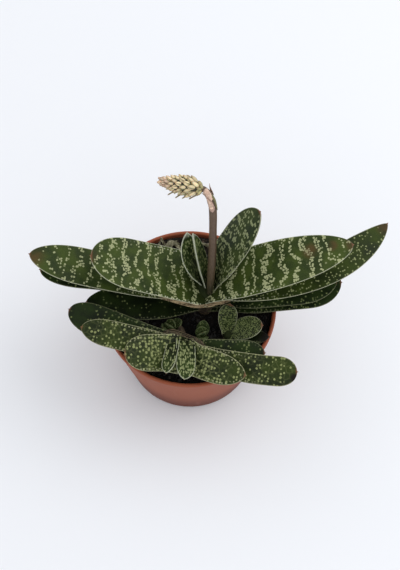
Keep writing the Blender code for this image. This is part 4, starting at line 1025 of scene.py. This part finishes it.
def make_crowns(paper):
    """Each crown: a stub, and the layers of sheath round it, with the edges that show in front."""
    heart, edge_paper = crown_heart(), dry_sheath("dry_sheath_edge", *EDGE_TANS)
    radius, height = np.array(CROWN_PROFILE).T[..., None]
    turn = np.linspace(0, 2 * math.pi, CROWN_STEPS // 2, endpoint=False)
    for name, crown in CROWNS.items():
        stub = leaned(oval_cup(crown["half"], radius, crown["length"] * height, turn), name)
        place(f"crown_{name}_stub", surface(f"crown_{name}_stub", stub), heart, "stem_brown", f"crown_{name}")
        for layer in range(SHEATH_LAYERS):
            title = f"crown_{name}_sheath_{layer + 1}"
            cup = surface(title, leaned(sheath_grid(crown, layer), name), ends=(False, False))
            place(title, cup, paper, "stem_brown")
    make_sheath_edges("main", **MAIN_EDGES, material=edge_paper)
    make_sheath_edges("front", **FRONT_EDGES, material=paper)


sheath_paper = dry_sheath("dry_leaf_sheath", *SHEATH_BROWNS)
make_crowns(sheath_paper)

# The flower stalk: one wiry stem, smooth and purplish brown, green brown low down, that grows from the
# main crown and bends over at the top. Dry papery bracts clasp its upper part.

STALK_ROUTE = [
    (0.0136, 0, 0.0960, 0.0020), (0.0146, 0.0045, 0.1160, 0.0027), (0.0154, 0.0100, 0.1380, 0.0026),
    (0.0156, 0.0150, 0.1590, 0.0025), (0.0155, 0.0190, 0.1730, 0.0026), (0.0147, 0.0230, 0.1795, 0.0024),
    (0.0129, 0.0264, 0.1834, 0.0022), (0.0098, 0.0288, 0.1854, 0.0020),
]
STALK_NECK = [(0.0070, 0.0302, 0.1860, 0.0016), (0.0040, 0.0310, 0.1862, 0.0016)]
STALK_SPLITS = 10
STALK_STEPS = 40
STALK_BROWNS = ("3A301B", "564234")
STALK_BROWN_HEIGHTS = (0.100, 0.160)
STALK_ROOT_GREEN = "161D0C"
STALK_ROOT_HEIGHTS = (0.098, 0.116)
STALK_RIB_TAN = "7C6950"
STALK_RIB_MM = 0.66667
BRACTS = [("B8998A", (0.60, 0.99), (88, 66), 50, 0.0004), ("6F6A45", (0.60, 1.00), (178, 150), 30, 0.0003),
          ("9C7F6C", (0.70, 0.97), (20, 40), 40, 0.0006), ("A58672", (0.80, 1.00), (265, 255), 50, 0.0030),
          ("D2B19B", (0.76, 1.00), (105, 160), 64, 0.0007), ("D9BCA6", (0.63, 0.82), (84, 80), 30, 0.0009),
          ("D8BBA6", (1.00, 0.76), (20, 62), 66, 0.0008)]
BRACT_ROWS = 26
BRACT_COLUMNS = 13
BRACT_OFF_STALK = 0.00018
BRACT_THICKNESS = 0.00028
BRACT_VEIN_MM = 0.76923
BRACT_RELIEF = 0.0002


def smooth_route(points, splits):
    """Points on a Catmull-Rom curve through the given rows, splits to each stretch."""
    points = np.array(points, float)
    padded = np.vstack([2 * points[0] - points[1], points, 2 * points[-1] - points[-2]])
    t = (np.arange(splits) / splits)[None, :, None]
    p0, p1, p2, p3 = (padded[k:len(padded) - 3 + k, None] for k in range(4))
    made = 0.5 * (2 * p1 + (p2 - p0) * t + (2 * p0 - 5 * p1 + 4 * p2 - p3) * t ** 2
                  + (3 * p1 - p0 - 3 * p2 + p3) * t ** 3)
    return np.vstack([made.reshape(-1, points.shape[1]), points[-1:]])


def stalk_bark():
    """The stem's skin: dull purple brown above, olive and darker towards the crown, finely ribbed along."""
    material, tree, shader = new_material("purple_flower_stem")
    place_at = add_node(tree, "TexCoord", out="Object")
    height = add_node(tree, "SeparateXYZ", (place_at,), out="Z")
    up = add_node(tree, "MapRange", (height, *STALK_BROWN_HEIGHTS))
    drawn = add_node(tree, "VectorMath", (place_at, (1.0, 1.0, 0.10)), operation="MULTIPLY")
    ribs = add_node(tree, "TexNoise", {"Vector": drawn, "Scale": 1000 / STALK_RIB_MM, "Detail": 3.0})
    brown = add_node(tree, "Mix", {0: up, 6: linear(STALK_BROWNS[0]), 7: linear(STALK_BROWNS[1])}, **COLOURS)
    out_of_crown = add_node(tree, "MapRange", (height, *STALK_ROOT_HEIGHTS))
    bark = add_node(tree, "Mix", {0: out_of_crown, 6: linear(STALK_ROOT_GREEN), 7: brown}, **COLOURS)
    ribbed = add_node(tree, "MapRange", (ribs, 0.4, 0.8, 0.0, 0.45))
    colour = add_node(tree, "Mix", {0: ribbed, 6: bark, 7: linear(STALK_RIB_TAN)}, **COLOURS)
    relief = add_node(tree, "Bump", {"Height": ribs, "Strength": 0.3, "Distance": BRACT_RELIEF})
    feed(shader, {"Base Color": colour, "Normal": relief, "Roughness": 0.45})
    return material


def papery_bract():
    """Bract: dry pinkish tan paper, each in its own tint from the mesh, paler in streaks along it."""
    material, tree, shader = new_material("papery_bract")
    place_at = add_node(tree, "TexCoord", out="Object")
    drawn = add_node(tree, "VectorMath", (place_at, (1.0, 1.0, 0.25)), operation="MULTIPLY")
    veins = add_node(tree, "TexNoise", {"Vector": drawn, "Scale": 1000 / BRACT_VEIN_MM, "Detail": 4.0})
    tint = add_node(tree, "Attribute", out="Color", attribute_name="tint")
    shade = add_node(tree, "MapRange", (veins, 0.3, 0.7, 0.6, 1.25))
    colour = add_node(tree, "VectorMath", {0: tint, "Scale": shade}, operation="SCALE")
    relief = add_node(tree, "Bump", {"Height": veins, "Strength": 0.4, "Distance": BRACT_RELIEF})
    feed(shader, {"Base Color": colour, "Normal": relief, "Roughness": 0.7})
    return material


def clasping_bract(line, share, turn, half_angle, lift):
    """A bract over how far it is along (rows) and round itself: part of a sleeve just outside the stalk,
    round at its root and tapering to a point that lifts off. Each of share and turn is (root, tip)."""
    t = np.linspace(0, 1, BRACT_ROWS)
    at = (share[0] + (share[1] - share[0]) * t) * (len(line) - 1)
    rows = np.stack([np.interp(at, np.arange(len(line)), line[:, k]) for k in range(4)], 1)
    first, second = square_to(rows[:, :3])
    half = math.radians(half_angle) * np.sqrt(np.clip(t / 0.16, 0.02, 1)) * np.clip(1 - t, 0.02, 1) ** 0.8
    middle = np.radians(turn[0] + (turn[1] - turn[0]) * t)
    sweep = np.linspace(-1, 1, BRACT_COLUMNS)
    angle = middle[:, None] + half[:, None] * np.concatenate([sweep, sweep[::-1]])
    inner = np.repeat((rows[:, 3] + BRACT_OFF_STALK + lift * t ** 2)[:, None], BRACT_COLUMNS, 1)
    radius = np.concatenate([inner + BRACT_THICKNESS, inner], 1)
    return (rows[:, None, :3] + (radius * np.cos(angle))[..., None] * first[:, None]
            + (radius * np.sin(angle))[..., None] * second[:, None])


def make_stalk():
    """The stalk's tube, and its bracts, which start on it and point to the bud head. Each of BRACTS is its
    colour, its stretch of the stalk and its turn round it, its half angle and how far its tip lifts."""
    line = smooth_route(STALK_ROUTE, STALK_SPLITS)
    stem = surface("flower_stalk_stem", tube_grid(np.vstack([line, STALK_NECK]), STALK_STEPS))
    place("flower_stalk_stem", stem, stalk_bark(), "stalk_brown", "flower_stalk")
    paper = papery_bract()
    for index, (colour, share, turn, half_angle, lift) in enumerate(BRACTS):
        bract = surface(f"stalk_bract_{index + 1}", clasping_bract(line, share, turn, half_angle, lift))
        paint(bract, np.tile(linear(colour), (len(bract.vertices), 1)))
        place(f"stalk_bract_{index + 1}", bract, paper, "stalk_brown")


make_stalk()

# The bud head: closed buds packed round the stalk's nodding end, cream and tan with green along their
# ribs, smaller towards the tip. A thin dry bract stands under every other one, and a few more hang below.

HEAD_TIP = (-0.0180, 0.0345, 0.1865)
HEAD_START = 0.0024
HEAD_RADIUS = 0.0054
HEAD_CORE = [(0.0, 0.45), (0.12, 0.85), (0.35, 1.0), (0.62, 0.80), (0.85, 0.42), (0.97, 0.12)]
# The core's colour: its own green, darkened further as painted shade for the gaps between the buds.
HEAD_SHADED_GREEN = "2A2412"
BUDS = 60
BUD_SEED = 5
BUD_LENGTH = (0.0074, 0.0036)
BUD_RADIUS = (0.00185, 0.00105)
BUD_PROFILE = [(0, 0.55), (0.12, 0.82), (0.35, 1.0), (0.55, 0.96), (0.75, 0.72), (0.90, 0.38), (1.0, 0.03)]
BUD_ROWS = 14
BUD_COLUMNS = 24
BUD_ROOTED = 0.55
BUD_CREAMS = ((0.45, "E9D9AE"), (0.70, "ECD9B0"), (1.00, "E8CDB0"))
BUD_TAN = "8C6A42"
BUD_RIB_GREEN = "4C4A20"
BUD_CLOUD_MM = 0.66667
BUD_LIGHT_DEPTH = 0.002
GOLDEN_ANGLE = math.radians(137.508)
COLLAR_BUDS = 12
COLLAR_LENGTH = 0.0046
COLLAR_RADIUS = 0.0012
COLLAR_GREEN = "C9C08C"
COLLAR_FROM = -0.0012
COLLAR_OVER = 0.0018
COLLAR_OUT = 0.0012
BUD_BRACT_TAN = "7E7046"
BUD_BRACT_GRID = (10, 8)
BUD_BRACT = dict(roll=(0, 0), width=0.0013, thick=0.0003, base=0.8, spread=0.4, narrow=0.2, blunt=0.9,
                 cup=(0.4, 0.3), point=0.0003)
HANGING_BRACTS = 4
HANGING_BRACT = {**BUD_BRACT, "length": 0.0080, "width": 0.0004, "narrow": 0.1}
HANGING_FROM = (0, -0.0030, -0.0022)


def frame_along(way):
    """The turn that takes +Z to a direction, as the rows of a matrix for points on the left."""
    return np.array(Vector(way).to_track_quat("Z", "X").to_matrix()).T


def bud_skin():
    """Bud: cream, greener down each rib and tan at the base and point, as the mesh's own colours, waxy and
    a little see-through."""
    material, tree, shader = new_material("waxy_bud")
    tint = add_node(tree, "Attribute", out="Color", attribute_name="tint")
    place_at = add_node(tree, "TexCoord", out="Object")
    cloud = add_node(tree, "TexNoise", {"Vector": place_at, "Scale": 1000 / BUD_CLOUD_MM, "Detail": 3.0})
    shade = add_node(tree, "MapRange", (cloud, 0.0, 1.0, 0.75, 1.2))
    colour = add_node(tree, "VectorMath", {0: tint, "Scale": shade}, operation="SCALE")
    feed(shader, {"Base Color": colour, "Roughness": 0.5, "Subsurface Weight": 0.15,
                  "Subsurface Scale": BUD_LIGHT_DEPTH})
    return material


def bud_grid(start, way, length, radius, turned_by, bloom):
    """A bud over its length and the angle round it: a pointed grain with six low ribs, three of them green.
    Returns the grid and its colours."""
    along = np.linspace(0, 1, BUD_ROWS)
    shares, widths = zip(*BUD_PROFILE)
    turn = np.linspace(0, 2 * math.pi, BUD_COLUMNS, endpoint=False)
    rib = np.cos(6 * (turn + turned_by))[None]
    width = (np.interp(along, shares, widths) * radius)[:, None] * (0.97 + 0.03 * rib)
    local = np.stack([width * np.cos(turn), width * np.sin(turn), (along * length)[:, None] + 0 * width], 2)
    cream, tan, green = (np.array(linear(colour)) for colour in (bloom, BUD_TAN, BUD_RIB_GREEN))
    stripe = smoothstep((np.cos(3 * (turn + turned_by)) - 0.35) / 0.5)[None] * (0.9 - 0.3 * along[:, None])
    ends = 0.75 * (smoothstep((0.28 - along) / 0.28) + smoothstep((along - 0.72) / 0.28))[:, None, None]
    colours = cream * (1 - stripe[..., None]) + green * stripe[..., None]
    return local @ frame_along(way) + start, colours * (1 - ends) + tan * ends


def join(name, grids, material, slot, colours):
    """Many grids of one size as one mesh, each closed as surface does, with the colours of their points."""
    quads, triangles, _, _ = grid_faces(*grids[0].shape[:2])
    points = np.array([with_middles(grid) for grid in grids])
    starts = points.shape[1] * np.arange(len(grids))[:, None, None]
    mesh = smooth_mesh(name, points.reshape(-1, 3), (quads + starts).reshape(-1, 4),
                       (triangles + starts).reshape(-1, 3))
    paint(mesh, np.array([with_middles(colour) for colour in colours]))
    return place(name, mesh, material, slot)


def make_bud_head():
    """The core and its buds as one mesh each, and the thin bracts between the buds as a third. The buds
    stand on a spiral, a golden angle apart, each leaning out from the axis, more so near the stalk."""
    draw = np.random.default_rng(BUD_SEED)
    base, tip = np.array(STALK_ROUTE[-1][:3]), np.array(HEAD_TIP)
    axis = (tip - base) / np.linalg.norm(tip - base)
    base = base + axis * HEAD_START
    length = np.linalg.norm(tip - base)
    across = frame_along(axis)
    shares, radii = zip(*HEAD_CORE)
    t = np.linspace(0, shares[-1], 24)
    turn = np.linspace(0, 2 * math.pi, 32, endpoint=False)
    width = (np.interp(t, shares, radii) * HEAD_RADIUS)[:, None]
    core = np.stack([width * np.cos(turn), width * np.sin(turn), (t * length)[:, None] + 0 * turn], 2)
    core = surface("bud_head_core", core @ across + base)
    paint(core, np.tile(linear(HEAD_SHADED_GREEN), (len(core.vertices), 1)))
    skin = bud_skin()
    place("bud_head_core", core, skin, "bud_cream", "flower_buds")

    buds, colours, bracts = [], [], []
    for index in range(BUDS):
        share = 0.04 + 0.92 * (index + 0.5) / BUDS
        size = 1 - share
        radial = np.array([math.cos(GOLDEN_ANGLE * index), math.sin(GOLDEN_ANGLE * index), 0])
        way = (radial * (0.35 + 0.75 * size) + (0, 0, 1)) @ across
        out = np.interp(share, shares, radii) * HEAD_RADIUS * BUD_ROOTED
        start = base + axis * share * length + radial @ across * out
        bud_length, bud_radius = (small + (large - small) * size for large, small in (BUD_LENGTH, BUD_RADIUS))
        bloom = next(cream for limit, cream in BUD_CREAMS if share < limit)
        bud, colour = bud_grid(start, way, bud_length, bud_radius, draw.uniform(0, 2), bloom)
        buds.append(bud)
        colours.append(colour * draw.uniform(0.70, 1.15))
        if index % 2 == 0:
            heading = math.degrees(math.atan2(way[1], way[0]))
            rise = math.degrees(math.asin(way[2] / np.linalg.norm(way)))
            bract = dict(BUD_BRACT, heading=(heading, heading + 25), rise=(rise - 4, rise - 10),
                         length=0.95 * bud_length)
            bracts.append(leaf_grid(bract, start, *BUD_BRACT_GRID)[0])
    for index in range(COLLAR_BUDS):
        radial = np.array([math.cos(GOLDEN_ANGLE * index), math.sin(GOLDEN_ANGLE * index), 0])
        way = (radial * 1.25 + (0, 0, 0.55 + 0.3 * (index % 2))) @ across
        down = COLLAR_FROM + COLLAR_OVER * index / COLLAR_BUDS
        start = base + axis * down + radial @ across * COLLAR_OUT
        bud, colour = bud_grid(start, way, COLLAR_LENGTH, COLLAR_RADIUS, draw.uniform(0, 2), COLLAR_GREEN)
        buds.append(bud)
        colours.append(colour * draw.uniform(0.6, 0.9))
    join("bud_head_buds", buds, skin, "bud_cream", colours)

    for index, share in enumerate(np.linspace(0.02, 0.55, HANGING_BRACTS)):
        start = base + axis * share * length + np.array(HANGING_FROM)
        bract = dict(HANGING_BRACT, heading=(188 + 9 * (index % 3), 200), rise=(-12, -38))
        bracts.append(leaf_grid(bract, start, *BUD_BRACT_GRID)[0])
    tan = np.tile(linear(BUD_BRACT_TAN), (*BUD_BRACT_GRID, 1))
    join("bud_head_bracts", bracts, skin, "bud_cream", [tan] * len(bracts))


make_bud_head()

# The smallest plants: two dense rosettes that have sprung from the soil in front of the main crown, each of
# four short keeled leaves in two rows on a stub.

OFFSETS = {
    "offset_back": dict(foot=(-0.0135, -0.0160), turn=20, size=0.0125),
    "offset_middle": dict(foot=(0.0085, -0.0215), turn=80, size=0.013),
}
OFFSET_LEAVES = 4
OFFSET_TURN = 192
OFFSET_RISE = 40
OFFSET_STEEPER = 12
OFFSET_SHORTER = 0.12
OFFSET_SLIMNESS = 0.70
OFFSET_ROOTS = (0.0009, 0.0006)
OFFSET_GRID = (40, 32)
OFFSET_SKIN_APART = 0.31
OFFSET_STUB = [(0.0022, -0.005), (0.0026, 0.0), (0.0020, 0.0028)]
OFFSET_LEAF = dict(roll=(0, 0), thick=0.0026, base=0.6, spread=0.5, narrow=0.4, blunt=0.65, cup=(0.4, 0.1),
                   point=0.0005)


def make_offsets(paper):
    """Each offset's leaves, the higher the shorter and steeper, and the stub that stands for it."""
    for number, (name, plant) in enumerate(OFFSETS.items()):
        foot = np.array([*plant["foot"], float(soil_height(*plant["foot"]))])
        stub = surface(name + "_stub", carried_round(OFFSET_STUB, 24) + foot)
        place(name + "_stub", stub, paper, "leaf_green", name)
        for index in range(OFFSET_LEAVES):
            turn = plant["turn"] + OFFSET_TURN * index
            steep = OFFSET_RISE + OFFSET_STEEPER * index
            leaf = dict(OFFSET_LEAF, heading=(turn, turn), rise=(steep, steep + OFFSET_STEEPER),
                        length=plant["size"] * (1 - OFFSET_SHORTER * index),
                        width=plant["size"] * OFFSET_SLIMNESS)
            root = foot + np.array([0, 0, OFFSET_ROOTS[0] + OFFSET_ROOTS[1] * index])
            skin_from = (OFFSET_SKIN_APART * index, 0.5 + number)
            blade = leaf_mesh(f"{name}_leaf_{index + 1}", leaf, root, skin_from, *OFFSET_GRID)
            place(f"{name}_leaf_{index + 1}", blade, SKINS["small"], "leaf_green")


make_offsets(sheath_paper)
